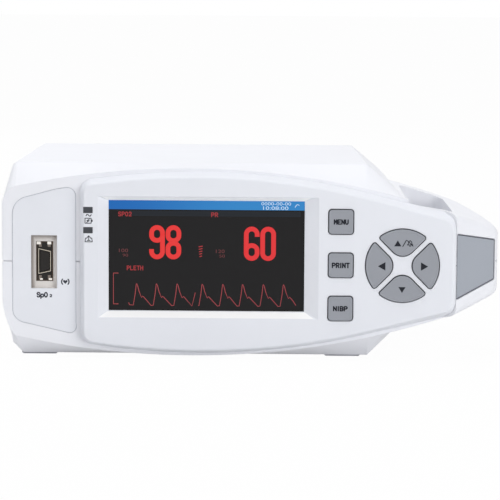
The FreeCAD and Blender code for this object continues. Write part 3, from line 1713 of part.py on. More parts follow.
def mains_inlet():
    """Snap-in appliance inlet with a keyed recess for the mains plug."""
    half = inlet_width / 2
    half_height = inlet_height / 2
    body = box(inlet_x - half, inlet_x + half, y_back - inlet_depth, y_back,
               inlet_z - half_height, inlet_z + half_height)
    flange = box(inlet_x - half - inlet_flange, inlet_x + half + inlet_flange, y_back,
                 y_back + inlet_flange_thickness, inlet_z - half_height - inlet_flange,
                 inlet_z + half_height + inlet_flange)
    flange = flange.makeFillet(inlet_edge, edges_where(flange, lambda edge: edge.BoundBox.YMin > y_back + 1))
    half_plug = plug_width / 2
    half_plug_height = plug_height / 2
    key = plug_key
    recess = [
        (inlet_x - half_plug, inlet_z - half_plug_height), (inlet_x + half_plug, inlet_z - half_plug_height),
        (inlet_x + half_plug, inlet_z + half_plug_height - key),
        (inlet_x + half_plug - key, inlet_z + half_plug_height),
        (inlet_x - half_plug + key, inlet_z + half_plug_height),
        (inlet_x - half_plug, inlet_z + half_plug_height - key),
    ]
    hollow = prism(recess, (), on_front(plug_bottom()), AXIS_Y * (plug_depth + 1))
    return join(body, flange).cut(hollow)


def plug_bottom():
    return y_back + inlet_flange_thickness - plug_depth


def inlet_pins():
    pins = []
    width, length, height = pin_size
    for x, z in pin_places:
        pin = box(inlet_x + x - width / 2, inlet_x + x + width / 2, plug_bottom(), plug_bottom() + length,
                  inlet_z + z - height / 2, inlet_z + z + height / 2)
        tip = edges_where(pin, lambda edge: edge.BoundBox.YMin > plug_bottom() + length - pin_edge)
        pins.append(pin.makeChamfer(pin_edge, tip))
    return Part.makeCompound(pins)


def rocker_pivot_y():
    return y_back - rocker_depth


def switch_frame():
    half = switch_width / 2
    half_height = switch_height / 2
    body = box(switch_x - half, switch_x + half, y_back - switch_depth, y_back, inlet_z - half_height,
               inlet_z + half_height)
    edge = switch_flange
    flange = box(switch_x - half - edge, switch_x + half + edge, y_back, y_back + inlet_flange_thickness,
                 inlet_z - half_height - edge, inlet_z + half_height + edge)
    flange = flange.makeFillet(switch_edge, edges_where(flange, lambda edge: edge.BoundBox.YMin > y_back + 1))
    half_room = half - switch_wall + gap
    room = rod(rocker_radius + gap, V(switch_x - half_room, rocker_pivot_y(), inlet_z),
               V(switch_x + half_room, rocker_pivot_y(), inlet_z))
    mouth = box(switch_x - half_room, switch_x + half_room, rocker_pivot_y(), y_back + 5,
                inlet_z - rocker_radius - gap, inlet_z + rocker_radius + gap)
    width, length, thickness = switch_blade
    blades = []
    for step in (-1, 0, 1):
        z = inlet_z + step * half_height * 0.63
        blades.append(box(switch_x - width / 2, switch_x + width / 2, y_back - switch_depth - length + 1,
                          y_back - switch_depth + 1, z - thickness / 2, z + thickness / 2))
    return join(body, flange, *blades).cut([room, mouth])


def power_rocker():
    """Rocker with two faces at an angle, modelled in its off position."""
    half = switch_width / 2 - switch_wall
    pivot = rocker_pivot_y()
    drum = rod(rocker_radius, V(switch_x - half, pivot, inlet_z), V(switch_x + half, pivot, inlet_z))
    reach = rocker_radius + 1.0
    shape = [(rocker_crown, 0.0), (rocker_crown + reach * rocker_rise, reach), (-rocker_back, reach),
             (-rocker_back, -reach), (rocker_crown + reach * rocker_rise, -reach)]
    profile = Part.makePolygon([V(switch_x - half, pivot + y, inlet_z + z) for y, z in shape + shape[:1]])
    body = Part.Face(profile).extrude(AXIS_X * 2 * half).common(drum)
    body.rotate(V(switch_x, pivot, inlet_z), AXIS_X, -rocker_tilt)
    return body


def power_module():
    """Mains supply board on four posts: transformer, capacitor, filter and heat sink."""
    x0 = battery_box()[1] + module_gap
    x1 = box_foot_right - module_right
    y1 = y_back - inlet_depth - module_gap
    y0 = y1 - module_length
    z0 = floor + module_rise
    z1 = z0 + board_thickness
    board = box(x0, x1, y0, y1, z0, z1)
    edge = module_post_inset
    posts = [drop_rod(module_post, x, y, floor, z0) for x in (x0 + edge, x1 - edge)
             for y in (y0 + edge, y1 - edge)]
    width, length, height = transformer_size
    front = y0 + module_length / 3
    transformer = box(x0 + edge, x0 + edge + width, front, front + length, z1, z1 + height)
    radius, length = capacitor_size
    middle = y0 + edge + radius
    capacitor = rod(radius, V(x0 + edge, middle, z1 + radius - 0.5),
                    V(x0 + edge + length, middle, z1 + radius - 0.5))
    width, length, height = filter_size
    filter_box = box(x0 + edge, x0 + edge + width, y1 - edge - length, y1 - edge, z1, z1 + height)
    width, length, height = sink_size
    sink = box(x1 - edge - width, x1 - edge, y1 - edge - length, y1 - edge, z1, z1 + height)
    return join(board, transformer, capacitor, filter_box, sink, *posts)


def speaker():
    y1 = rear_inner
    rim = front_rod(speaker_radius, speaker_x, speaker_z, y1 - speaker_rim, y1)
    cone = Part.makeCone(speaker_radius - speaker_cone_step, magnet_radius,
                         speaker_depth - speaker_rim - magnet_depth + 1,
                         V(speaker_x, y1 - speaker_rim, speaker_z), V(0, -1, 0))
    magnet = front_rod(magnet_radius, speaker_x, speaker_z, y1 - speaker_depth,
                       y1 - speaker_depth + magnet_depth)
    return join(rim, cone, magnet)


# ---------------------------------------------------------------- chassis and main board
def chassis_plate():
    """Folded sheet: foot on the floor pads, upright plate, standoffs for the main board."""
    foot_z = floor + chassis_pad
    rear = chassis_y + chassis_thickness
    upright = box(chassis_left, chassis_right, chassis_y, rear, foot_z, chassis_top)
    foot = box(chassis_left, chassis_right, chassis_y - chassis_foot, rear, foot_z,
               foot_z + chassis_thickness)
    width, height = chassis_window
    low = z_bottom + chassis_window_rise
    windows = [box(x, x + width, chassis_y - 1, rear + 1, low, low + height)
               for x in (chassis_left + chassis_window_inset, chassis_right - chassis_window_inset - width)]
    posts = [front_rod(standoff_radius, x, z, chassis_y - standoff, chassis_y)
             for x, z in main_board_posts()]
    return join(upright, foot, *posts).cut(windows)


def main_board_posts():
    sides = (chassis_left + standoff_inset, chassis_right - standoff_inset)
    return [(x, z) for x in sides for z in (z_bottom + standoff_rise, chassis_top - standoff_drop)]


def main_board():
    y1 = chassis_y - standoff
    y0 = y1 - board_thickness
    left = chassis_left + main_board_margin
    low = z_bottom + main_board_rise
    pieces = [box(left, chassis_right - main_board_margin, y0, y1, low, chassis_top - main_board_drop)]
    for x, z, width, height, depth in main_board_parts:
        pieces.append(box(left + x, left + x + width, y0 - depth, y0, low + z, low + z + height))
    return join(*pieces)


# ---------------------------------------------------------------- export
def build():
    upper, lower = case_halves()
    nodes = {
        "upper_case": upper, "lower_case": lower, "front_bezel": front_bezel(),
        "sensor_plate": sensor_plate(), "display_window": display_window(), "lcd_panel": lcd_panel(),
        "lcd_bracket": lcd_bracket(), "status_light_pipes": status_light_pipes(),
        "status_board": status_board(), "key_mat": key_mat(), "key_board": key_board(),
        "board_screws": board_screws(), "socket_shell": socket_shell(), "socket_core": socket_core(),
        "socket_contacts": socket_contacts(), "socket_latches": socket_latches(),
        "sensor_board": sensor_board(), "alarm_lens": alarm_lens(),
        "alarm_led_board": alarm_led_board(), "printer_frame": printer_frame(),
        "printer_door": printer_door(), "door_hinge_pin": door_hinge_pin(),
        "platen_roller": platen_roller(), "platen_gear": platen_gear(), "drive_gear": drive_gear(),
        "printer_motor": printer_motor(), "print_head": print_head(), "paper_roll": paper_roll(),
        "pressure_pump": pressure_pump(), "pump_clamp": pump_clamp(), "air_manifold": air_manifold(),
        "release_valve": release_valve(), "cuff_port": cuff_port(), "air_hose": air_hose(),
        "battery_pack": battery_pack(), "battery_contacts": battery_contacts(),
        "battery_door": battery_door(), "battery_door_screw": battery_door_screw(),
        "mains_inlet": mains_inlet(), "inlet_pins": inlet_pins(), "switch_frame": switch_frame(),
        "power_rocker": power_rocker(), "power_module": power_module(), "speaker": speaker(),
        "chassis_plate": chassis_plate(), "main_board": main_board(), "case_screws": case_screws(),
        "rubber_feet": rubber_feet(),
    }
    for name, step in square_names:
        nodes[name] = square_key(face_z + step * key_pitch)
    for name, angle in sector_names:
        nodes[name] = sector_key(angle)
    return nodes


os.makedirs("parts", exist_ok=True)
for node, shape in build().items():
    shape.exportStep("parts/" + node + ".step")
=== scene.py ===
import json
import logging
import math
from dataclasses import dataclass, field
from enum import Enum
from typing import ClassVar

import bmesh
import bpy
from mathutils import Matrix, Vector
from mathutils.bvhtree import BVHTree


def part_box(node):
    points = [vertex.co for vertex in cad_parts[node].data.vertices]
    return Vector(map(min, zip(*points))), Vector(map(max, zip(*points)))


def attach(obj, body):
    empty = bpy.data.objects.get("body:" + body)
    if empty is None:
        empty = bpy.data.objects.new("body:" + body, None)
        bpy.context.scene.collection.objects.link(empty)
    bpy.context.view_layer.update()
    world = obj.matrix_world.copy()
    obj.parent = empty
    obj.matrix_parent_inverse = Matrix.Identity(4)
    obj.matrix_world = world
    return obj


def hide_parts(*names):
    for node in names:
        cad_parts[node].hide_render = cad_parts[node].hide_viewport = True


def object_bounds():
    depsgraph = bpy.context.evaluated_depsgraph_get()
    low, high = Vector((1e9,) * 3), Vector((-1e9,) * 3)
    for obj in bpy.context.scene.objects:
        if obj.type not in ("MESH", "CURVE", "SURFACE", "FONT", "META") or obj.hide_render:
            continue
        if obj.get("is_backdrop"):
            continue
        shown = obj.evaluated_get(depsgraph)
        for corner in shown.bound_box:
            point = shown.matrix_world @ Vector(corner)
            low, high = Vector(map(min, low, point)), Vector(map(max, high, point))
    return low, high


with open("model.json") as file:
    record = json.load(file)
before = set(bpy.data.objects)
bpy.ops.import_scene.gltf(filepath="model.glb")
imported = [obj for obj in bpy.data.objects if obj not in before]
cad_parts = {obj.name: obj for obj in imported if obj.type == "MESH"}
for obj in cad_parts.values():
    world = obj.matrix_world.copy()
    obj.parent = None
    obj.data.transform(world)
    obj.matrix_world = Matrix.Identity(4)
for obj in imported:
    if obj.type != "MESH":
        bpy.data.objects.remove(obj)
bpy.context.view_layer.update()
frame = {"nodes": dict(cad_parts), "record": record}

log = logging.getLogger("patient_monitor")

MM = 0.001
Colour = tuple[float, float, float, float]
Path = list[tuple[float, float]]


def paint(red: float, green: float, blue: float) -> Colour:
    """Linear colour from display values.

    Args:
        red: from 0 to 255.
        green: from 0 to 255.
        blue: from 0 to 255.

    Returns:
        The colour, opaque.
    """
    linear = [v / 12.92 if v <= 0.04045 else ((v + 0.055) / 1.055) ** 2.4
              for v in (red / 255, green / 255, blue / 255)]
    return (linear[0], linear[1], linear[2], 1.0)


def shade(colour: Colour, share: float) -> Colour:
    """The colour, made lighter or darker by a share."""
    return (colour[0] * share, colour[1] * share, colour[2] * share, 1.0)


# ---------------------------------------------------------------- shader maths
class Axis(Enum):
    """The directions of an object's own coordinates."""

    ACROSS = "X"
    INWARDS = "Y"
    UPWARDS = "Z"


class Sock:
    """A node's output that takes part in Python expressions."""

    def __init__(self, sheet: "ShaderSheet", output: bpy.types.NodeSocket) -> None:
        """Keeps the output and the sheet it belongs to."""
        self.sheet = sheet
        self.output = output

    def maths(self, operation: str, first: "Sock | float", second: "Sock | float" = 0.0) -> "Sock":
        """Adds a Math node for the operation on two values."""
        return self.sheet.node("ShaderNodeMath", {"operation": operation}, {0: first, 1: second})

    def __add__(self, other: "Sock | float") -> "Sock":
        """self + other."""
        return self.maths("ADD", self, other)

    def __radd__(self, other: float) -> "Sock":
        """other + self."""
        return self.maths("ADD", other, self)

    def __sub__(self, other: "Sock | float") -> "Sock":
        """self - other."""
        return self.maths("SUBTRACT", self, other)

    def __rsub__(self, other: float) -> "Sock":
        """other - self."""
        return self.maths("SUBTRACT", other, self)

    def __mul__(self, other: "Sock | float") -> "Sock":
        """self * other."""
        return self.maths("MULTIPLY", self, other)

    def __rmul__(self, other: float) -> "Sock":
        """other * self."""
        return self.maths("MULTIPLY", other, self)

    def size(self) -> "Sock":
        """The value without its sign."""
        return self.maths("ABSOLUTE", self)

    def most(self, other: "Sock") -> "Sock":
        """The greater of two values."""
        return self.maths("MAXIMUM", self, other)

    def over(self, limit: float) -> "Sock":
        """1 where the value is above the limit, 0 elsewhere."""
        return self.maths("GREATER_THAN", self, limit)

    def smooth(self, low: float, high: float) -> "Sock":
        """0 below low, 1 above high, and a soft rise between them."""
        return self.sheet.node("ShaderNodeMapRange", {"interpolation_type": "SMOOTHSTEP"},
                               {0: self, 1: low, 2: high})


class ShaderSheet:
    """A new material's node tree, and the few steps all the finishes share."""

    output_kind = "ShaderNodeOutputMaterial"
    edge_turn = (0.01, 0.16)    # how far the softened normal leans away where an edge starts and is full
    bevel_samples = 6

    def __init__(self, name: str) -> None:
        """Starts an empty tree.

        Args:
            name: the name of the block that owns the tree.
        """
        self.owner = self.new_owner(name)
        self.owner.use_nodes = True
        self.tree = self.owner.node_tree
        self.tree.nodes.clear()

    def new_owner(self, name: str) -> bpy.types.ID:
        """The new material."""
        return bpy.data.materials.new(name)

    def node(self, kind: str, settings: dict | None = None, values: dict | None = None,
             out: int | str = 0) -> Sock:
        """Adds any node.

        Args:
            kind: the node's type.
            settings: its own settings, set first.
            values: numbers, colours or Socks for its sockets, by name or number.
            out: the output that is returned.

        Returns:
            The chosen output.
        """
        made = self.tree.nodes.new(kind)
        for key, value in (settings or {}).items():
            setattr(made, key, value)
        for key, value in (values or {}).items():
            socket = made.inputs[key]
            if isinstance(value, Sock):
                self.tree.links.new(value.output, socket)
            else:
                socket.default_value = value
        return Sock(self, made.outputs[out])

    def place(self) -> Sock:
        """The point's place in the object's own coordinates, in metres."""
        return self.node("ShaderNodeTexCoord", out="Object")

    def mapped(self, scale: tuple[float, float, float],
               turn: tuple[float, float, float] = (0.0, 0.0, 0.0)) -> Sock:
        """The place, turned and stretched."""
        return self.node("ShaderNodeMapping", {},
                         {"Vector": self.place(), "Scale": scale, "Rotation": turn})

    def along(self, axis: Axis) -> Sock:
        """One coordinate of the place, in metres."""
        return self.node("ShaderNodeSeparateXYZ", {}, {0: self.place()}, out=axis.value)

    def noise(self, size: float, detail: float = 2.0, roughness: float = 0.5,
              where: Sock | None = None) -> Sock:
        """Noise from 0 to 1.

        Args:
            size: how wide its blobs are, in the units of where.
            detail: how many finer layers it has.
            roughness: how strong the finer layers are.
            where: the point it is read at; the plain place if none is given.

        Returns:
            The noise.
        """
        values = {"Vector": where or self.place(), "Scale": 1 / size, "Detail": detail,
                  "Roughness": roughness}
        return self.node("ShaderNodeTexNoise", {}, values, out="Fac")

    def tint(self, share: Sock | float, first: Sock | Colour, second: Sock | Colour) -> Sock:
        """Colour mix: first where share is 0, second where it is 1."""
        return self.node("ShaderNodeMix", {"data_type": "RGBA"}, {0: share, 6: first, 7: second}, out=2)

    def rounded(self, radius: float) -> Sock:
        """A normal that turns softly over the piece's edges."""
        return self.node("ShaderNodeBevel", {"samples": self.bevel_samples}, {"Radius": radius})

    def edges(self, rounded: Sock) -> Sock:
        """1 on the piece's edges, 0 on its faces.

        Args:
            rounded: the softened normal.

        Returns:
            The mask.
        """
        flat = self.node("ShaderNodeNewGeometry", out="Normal")
        match = self.node("ShaderNodeVectorMath", {"operation": "DOT_PRODUCT"}, {0: rounded, 1: flat},
                          out="Value")
        return (1.0 - match).smooth(*self.edge_turn)

    def bump(self, height: Sock, depth: float, normal: Sock | None = None) -> Sock:
        """Relief on top of a normal.

        Args:
            height: from 0 to 1.
            depth: of the relief, in metres.
            normal: the one it stands on; the plain one if none is given.

        Returns:
            The normal with the relief.
        """
        values = {"Height": height, "Distance": depth}
        if normal:
            values["Normal"] = normal
        return self.node("ShaderNodeBump", {}, values)

    def seen(self) -> Sock:
        """Mask of what is looked at.

        Returns:
            1 for rays of the camera, also by way of a mirror or glass, and 0 for those that only light.
        """
        share = self.node("ShaderNodeLightPath", out="Is Camera Ray")
        for ray in ("Is Glossy Ray", "Is Transmission Ray"):
            share = share.most(self.node("ShaderNodeLightPath", out=ray))
        return share

    def close(self, **values: "Sock | float | Colour") -> bpy.types.Material:
        """Ends the tree in one shader.

        Args:
            values: the shader's sockets, with _ for a blank.

        Returns:
            The material.
        """
        named = {key.replace("_", " "): value for key, value in values.items()}
        shader = self.node("ShaderNodeBsdfPrincipled", {}, named)
        self.finish(shader)
        return self.owner

    def finish(self, shader: Sock) -> None:
        """Joins a shader to the tree's output."""
        out = self.tree.nodes.new(self.output_kind)
        self.tree.links.new(shader.output, out.inputs["Surface"])


class SkySheet(ShaderSheet):
    """A new world's node tree."""

    output_kind = "ShaderNodeOutputWorld"

    def new_owner(self, name: str) -> bpy.types.ID:
        """The new world."""
        return bpy.data.worlds.new(name)


# ---------------------------------------------------------------- finishes
@dataclass(frozen=True)
class MouldedPlastic:
    """Injection-moulded plastic with a fine satin grain and slightly polished edges."""

    name: str
    colour: Colour
    roughness: float = 0.48
    shine: float = 0.32                 # level of its plain reflection
    grain: float = 0.45 * MM            # width of a grain
    relief: float = 0.006 * MM          # height of a grain
    speckle: float = 0.06               # how much the grain darkens the colour
    edge: float = 0.45 * MM             # radius of the softened edges
    wear: float = 0.35                  # how far the edges are rubbed
    worn_patch: float = 4 * MM          # width of a rubbed spot
    worn_tone: float = 1.08             # brightness of a rubbed spot
    cloud: float = 22 * MM              # width of a cloud in the colour
    cloudiness: float = 0.02            # how much a cloud changes the colour

    def toned(self, sheet: ShaderSheet, colour: Sock) -> Sock:
        """The colour after what only some kinds of this plastic add to it."""
        return colour

    def make(self) -> bpy.types.Material:
        """Builds the material.

        Returns:
            The new material.
        """
        sheet = ShaderSheet(self.name)
        rounded = sheet.rounded(self.edge)
        # In this finish the mask holds only rubbed wear on the edges.
        wear_and_shade = sheet.edges(rounded) * sheet.noise(self.worn_patch, 3.0).smooth(0.3, 0.7) * self.wear
        grain = sheet.noise(self.grain, 2.0, 0.6)
        cloud = sheet.noise(self.cloud, 3.0)
        colour = sheet.tint(cloud, shade(self.colour, 1 - self.cloudiness),
                            shade(self.colour, 1 + self.cloudiness))
        colour = sheet.tint(grain.smooth(0.55, 0.75) * self.speckle, colour, shade(self.colour, 0.8))
        colour = sheet.tint(wear_and_shade, colour, shade(self.colour, self.worn_tone))
        colour = self.toned(sheet, colour)
        rough = self.roughness + (grain - 0.5) * 0.10 + (cloud - 0.5) * 0.06 - wear_and_shade * 0.25
        normal = sheet.bump(grain, self.relief, rounded)
        return sheet.close(Base_Color=colour, Roughness=rough, Normal=normal,
                           Specular_IOR_Level=self.shine)


@dataclass(frozen=True)
class FacePlastic(MouldedPlastic):
    """Moulded plastic with a painted highlight on the slopes above and below the display."""

    slope_highlight: Colour = (1.0, 1.0, 1.0, 1.0)   # colour of the painted highlight on the slopes
    frame_width: float = 7 * MM         # of the sloped frame, at the sides
    frame_height: float = 4.6 * MM      # of the sloped frame, above and below
    slope_start: float = 0.1 * MM       # depth at which the slopes begin
    blur: float = 0.5 * MM              # width over which the painted highlight sets in

    def toned(self, sheet: ShaderSheet, colour: Sock) -> Sock:
        """Paints a highlight on the two slopes.

        Args:
            sheet: the material's tree.
            colour: the plastic's colour so far.

        Returns:
            The colour with bright slopes.
        """
        left, right, low, high = Display().area()
        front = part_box("front_bezel")[0].y
        deep = sheet.along(Axis.INWARDS).smooth(front + self.slope_start, front + self.blur)
        aside = (sheet.along(Axis.ACROSS) - (left + right) / 2).size()
        above = (sheet.along(Axis.UPWARDS) - (low + high) / 2).size()
        wide = (right - left) / 2
        tall = (high - low) / 2
        mitre = (above - tall) * (self.frame_width / self.frame_height) - (aside - wide)
        framed = mitre.over(0.0) * (1.0 - above.over(tall + self.frame_height))
        # Painted highlight: the slopes above and below the display are tinted towards white, standing in
        # for the light they catch.
        share = deep * framed * above.smooth(tall, tall + self.blur)
        return sheet.tint(share, colour, self.slope_highlight)


@dataclass(frozen=True)
class ShadedPlastic:
    """Plastic with painted shade that darkens it towards its left and upper edge."""

    name: str
    light: Colour
    dark: Colour
    across: tuple[float, float]         # from the dark left side to the light
    upwards: tuple[float, float]        # from the light to the dark top
    roughness: float = 0.55
    shade_strength: float = 0.85             # how dark the painted shade gets at the left and top
    grime: float = 0.5 * MM             # width of a speck
    relief: float = 0.02 * MM           # height of a speck
    edge: float = 0.2 * MM              # radius of the softened edges

    def make(self) -> bpy.types.Material:
        """Builds the material.

        Returns:
            The new material.
        """
        sheet = ShaderSheet(self.name)
        side = 1.0 - sheet.along(Axis.ACROSS).smooth(*self.across)
        top = sheet.along(Axis.UPWARDS).smooth(*self.upwards)
        grime = sheet.noise(self.grime, 3.0, 0.6)
        # Painted shade: the colour darkens towards the left side and the top, standing in for the shade
        # inside a recess.
        share = side.most(top) * self.shade_strength
        colour = sheet.tint(share + (grime - 0.5) * 0.25, self.light, self.dark)
        rough = self.roughness + (grime - 0.5) * 0.1
        normal = sheet.bump(grime, self.relief, sheet.rounded(self.edge))
        return sheet.close(Base_Color=colour, Roughness=rough, Normal=normal, Specular_IOR_Level=0.3)


@dataclass(frozen=True)
class SheetMetal:
    """Metal with fine drawn lines, a little uneven in its shine."""

    name: str
    colour: Colour
    roughness: float = 0.3
    lines: float = 0.18 * MM            # from one drawn line to the next
    stretch: float = 25.0               # length of a line against that
    relief: float = 0.002 * MM          # depth of a line
    cloud: float = 3 * MM               # width of a dull spot
    edge: float = 0.12 * MM             # radius of the softened edges

    def make(self) -> bpy.types.Material:
        """Builds the material.

        Returns:
            The new material.
        """
        sheet = ShaderSheet(self.name)
        rounded = sheet.rounded(self.edge)
        drawn = sheet.noise(self.lines, 2.0, 0.6, sheet.mapped((1.0, 1.0, 1 / self.stretch)))
        cloud = sheet.noise(self.cloud, 3.0)
        colour = sheet.tint(cloud, shade(self.colour, 0.88), shade(self.colour, 1.08))
        rough = self.roughness + (drawn - 0.5) * 0.18 + (cloud - 0.5) * 0.12
        normal = sheet.bump(drawn, self.relief, rounded)
        return sheet.close(Base_Color=colour, Metallic=1.0, Roughness=rough, Normal=normal)


@dataclass(frozen=True)
class Rubber:
    """Soft rubber: dark, dry, with a powdery bloom."""

    name: str
    colour: Colour
    roughness: float = 0.78
    grain: float = 0.25 * MM            # width of a grain
    relief: float = 0.02 * MM           # height of a grain
    bloom: float = 6 * MM               # width of a powdery spot
    edge: float = 0.3 * MM              # radius of the softened edges

    def make(self) -> bpy.types.Material:
        """Builds the material.

        Returns:
            The new material.
        """
        sheet = ShaderSheet(self.name)
        rounded = sheet.rounded(self.edge)
        grain = sheet.noise(self.grain, 3.0, 0.65)
        bloom = sheet.noise(self.bloom, 4.0).smooth(0.45, 0.75)
        colour = sheet.tint(bloom * 0.25, self.colour, shade(self.colour, 1.5))
        colour = sheet.tint(sheet.edges(rounded) * 0.3, colour, shade(self.colour, 1.7))
        rough = self.roughness + (grain - 0.5) * 0.12
        normal = sheet.bump(grain, self.relief, rounded)
        return sheet.close(Base_Color=colour, Roughness=rough, Normal=normal, Specular_IOR_Level=0.3)


@dataclass(frozen=True)
class DarkGlass:
    """The display's cover: black behind glass, with faint wiping marks in its shine."""

    name: str
    colour: Colour
    roughness: float = 0.16
    cell: float = 0.2 * MM              # width of a display cell
    wipes: tuple[float, float, float] = (60.0, 60.0, 260.0)     # per metre along each axis
    wipe_tilt: float = 0.5              # slant of the wiping marks, in radians

    def make(self) -> bpy.types.Material:
        """Builds the material.

        Returns:
            The new material.
        """
        sheet = ShaderSheet(self.name)
        wiped = sheet.noise(1.0, 4.0, 0.6, sheet.mapped(self.wipes, (0.0, self.wipe_tilt, 0.0)))
        cell = sheet.noise(self.cell, 1.0)
        colour = sheet.tint(cell, shade(self.colour, 0.85), shade(self.colour, 1.15))
        rough = self.roughness + (wiped - 0.5) * 0.10
        return sheet.close(Base_Color=colour, Roughness=rough, Specular_IOR_Level=0.15)


@dataclass(frozen=True)
class LitInk:
    """What the display shows: it glows, in cells a fifth of a millimetre wide."""

    wave_period: ClassVar[float] = math.tau / 20    # of the wave texture, at a scale of 1

    name: str
    left: Colour                        # colour at the start of the span
    right: Colour                       # colour at its end
    span: tuple[float, float] = (0.0, 1.0)  # from left to right, in metres
    strength: float = 1.0
    cell: float = 0.1981 * MM           # width of a display cell
    cell_contrast: float = 0.12         # how dark it is between two cells
    unlit: Colour = (0.01, 0.01, 0.01, 1.0)     # colour under the glow

    def make(self) -> bpy.types.Material:
        """Builds the material.

        Returns:
            The new material.
        """
        sheet = ShaderSheet(self.name)
        share = sheet.along(Axis.ACROSS).smooth(*self.span)
        cells = sheet.node("ShaderNodeTexWave", {"wave_type": "BANDS", "bands_direction": "X"},
                           {"Vector": sheet.place(), "Scale": self.wave_period / self.cell,
                            "Distortion": 0.0}, out="Fac")
        lit = cells.smooth(0.0, 0.35) * self.cell_contrast + (1 - self.cell_contrast)
        colour = sheet.tint(share, self.left, self.right)
        colour = sheet.tint(lit, (0.0, 0.0, 0.0, 1.0), colour)
        return sheet.close(Base_Color=self.unlit, Emission_Color=colour,
                           Emission_Strength=self.strength, Roughness=0.4, Specular_IOR_Level=0.05)


@dataclass(frozen=True)
class PrintedInk:
    """Pad-printed ink, a little thin where the plastic's grain is high."""

    name: str
    colour: Colour
    roughness: float = 0.5
    grain: float = 0.3 * MM             # width of a thin spot
    relief: float = 0.004 * MM          # height of the ink

    def make(self) -> bpy.types.Material:
        """Builds the material.

        Returns:
            The new material.
        """
        sheet = ShaderSheet(self.name)
        thin = sheet.noise(self.grain, 2.0).smooth(0.55, 0.8)
        colour = sheet.tint(thin * 0.25, self.colour, shade(self.colour, 1.5))
        return sheet.close(Base_Color=colour, Roughness=self.roughness + thin * 0.1,
                           Specular_IOR_Level=0.3, Normal=sheet.bump(thin, self.relief))


@dataclass(frozen=True)
class CircuitBoard:
    """Laminate under solder mask, with tracks just showing through it."""

    name: str
    colour: Colour
    roughness: float = 0.35
    cells: float = 420.0                # of the tracks, per metre
    weave: float = 0.4 * MM             # width of a thread
    relief: float = 0.03 * MM           # height of the tracks
    edge: float = 0.1 * MM              # radius of the softened edges

    def make(self) -> bpy.types.Material:
        """Builds the material.

        Returns:
            The new material.
        """
        sheet = ShaderSheet(self.name)
        across = sheet.node("ShaderNodeTexVoronoi", {"distance": "CHEBYCHEV"},
                            {"Vector": sheet.place(), "Scale": self.cells, "Randomness": 0.9},
                            out="Distance")
        tracks = across.smooth(0.42, 0.5)
        weave = sheet.noise(self.weave, 2.0)
        colour = sheet.tint(tracks, self.colour, shade(self.colour, 1.7))
        colour = sheet.tint(weave * 0.3, colour, shade(self.colour, 0.7))
        return sheet.close(Base_Color=colour, Roughness=self.roughness + weave * 0.2,
                           Normal=sheet.bump(tracks, self.relief, sheet.rounded(self.edge)))


@dataclass(frozen=True)
class Paper:
    """Smooth recording paper with its fibres and the faint edges of its wound layers."""

    name: str
    colour: Colour
    roughness: float = 0.75
    fibres: tuple[float, float, float] = (900.0, 2600.0, 900.0)     # per metre along each axis
    layers: tuple[float, float, float] = (200.0, 9000.0, 200.0)     # per metre along each axis
    relief: float = 0.02 * MM           # height of a wound edge
    edge: float = 0.1 * MM              # radius of the softened edges

    def make(self) -> bpy.types.Material:
        """Builds the material.

        Returns:
            The new material.
        """
        sheet = ShaderSheet(self.name)
        fibre = sheet.noise(1.0, 4.0, 0.7, sheet.mapped(self.fibres))
        wound = sheet.noise(1.0, 1.0, 0.5, sheet.mapped(self.layers))
        colour = sheet.tint(fibre * 0.5, self.colour, shade(self.colour, 0.86))
        return sheet.close(Base_Color=colour, Roughness=self.roughness + (fibre - 0.5) * 0.2,
                           Normal=sheet.bump(wound, self.relief, sheet.rounded(self.edge)))


CASE_WHITE = paint(240, 241, 246)
FACE_WHITE = paint(233, 235, 241)
KEY_GREY = paint(153, 156, 163)

FINISHES = {
    "case_shell": MouldedPlastic("case_white", CASE_WHITE),
    "bezel_shell": FacePlastic("face_white", FACE_WHITE),
    "key_plastic": MouldedPlastic("key_grey", KEY_GREY, roughness=0.5, edge=0.2 * MM, wear=0.6),
    "display_glass": DarkGlass("display_black", paint(29, 28, 29)),
    "panel_metal": SheetMetal("display_panel_steel", paint(176, 178, 182), roughness=0.35),
    "status_smoke": MouldedPlastic("status_window_smoke", paint(66, 69, 74), roughness=0.3, wear=0.1),
    "board_green": CircuitBoard("board_green", paint(28, 92, 58)),
    "mat_rubber": Rubber("rubber_grey", paint(92, 95, 98)),
    "screw_steel": SheetMetal("screw_steel", paint(170, 172, 176), roughness=0.32),
    "socket_nickel": SheetMetal("socket_nickel", paint(132, 122, 114), roughness=0.3),
    "socket_black": MouldedPlastic("socket_black", paint(34, 34, 35), roughness=0.4, wear=0.3),
    "contact_gold": SheetMetal("contact_gold", paint(150, 122, 66), roughness=0.4),
    "alarm_grey": MouldedPlastic("alarm_window_grey", paint(164, 169, 178), roughness=0.3, wear=0.1,
                                 relief=0.002 * MM),
    "printer_plastic": MouldedPlastic("printer_black", paint(62, 64, 68), roughness=0.55),
    "platen_rubber": Rubber("platen_rubber", paint(40, 41, 43), roughness=0.7),
    "gear_plastic": MouldedPlastic("gear_ivory", paint(222, 218, 204), roughness=0.45, edge=0.1 * MM),
    "motor_steel": SheetMetal("motor_steel", paint(150, 152, 156), roughness=0.4),
    "head_ceramic": MouldedPlastic("print_head_ceramic", paint(196, 190, 178), roughness=0.2,
                                   edge=0.1 * MM),
    "paper_white": Paper("recording_paper", paint(240, 238, 232)),
    "clamp_steel": SheetMetal("clamp_steel", paint(180, 182, 184), roughness=0.38),
    "port_plastic": MouldedPlastic("port_grey", paint(118, 124, 134), roughness=0.4),
    "battery_blue": MouldedPlastic("battery_sleeve_blue", paint(40, 74, 140), roughness=0.3, wear=0.2),
    "contact_block": MouldedPlastic("contact_block", paint(46, 46, 48), roughness=0.5),
}


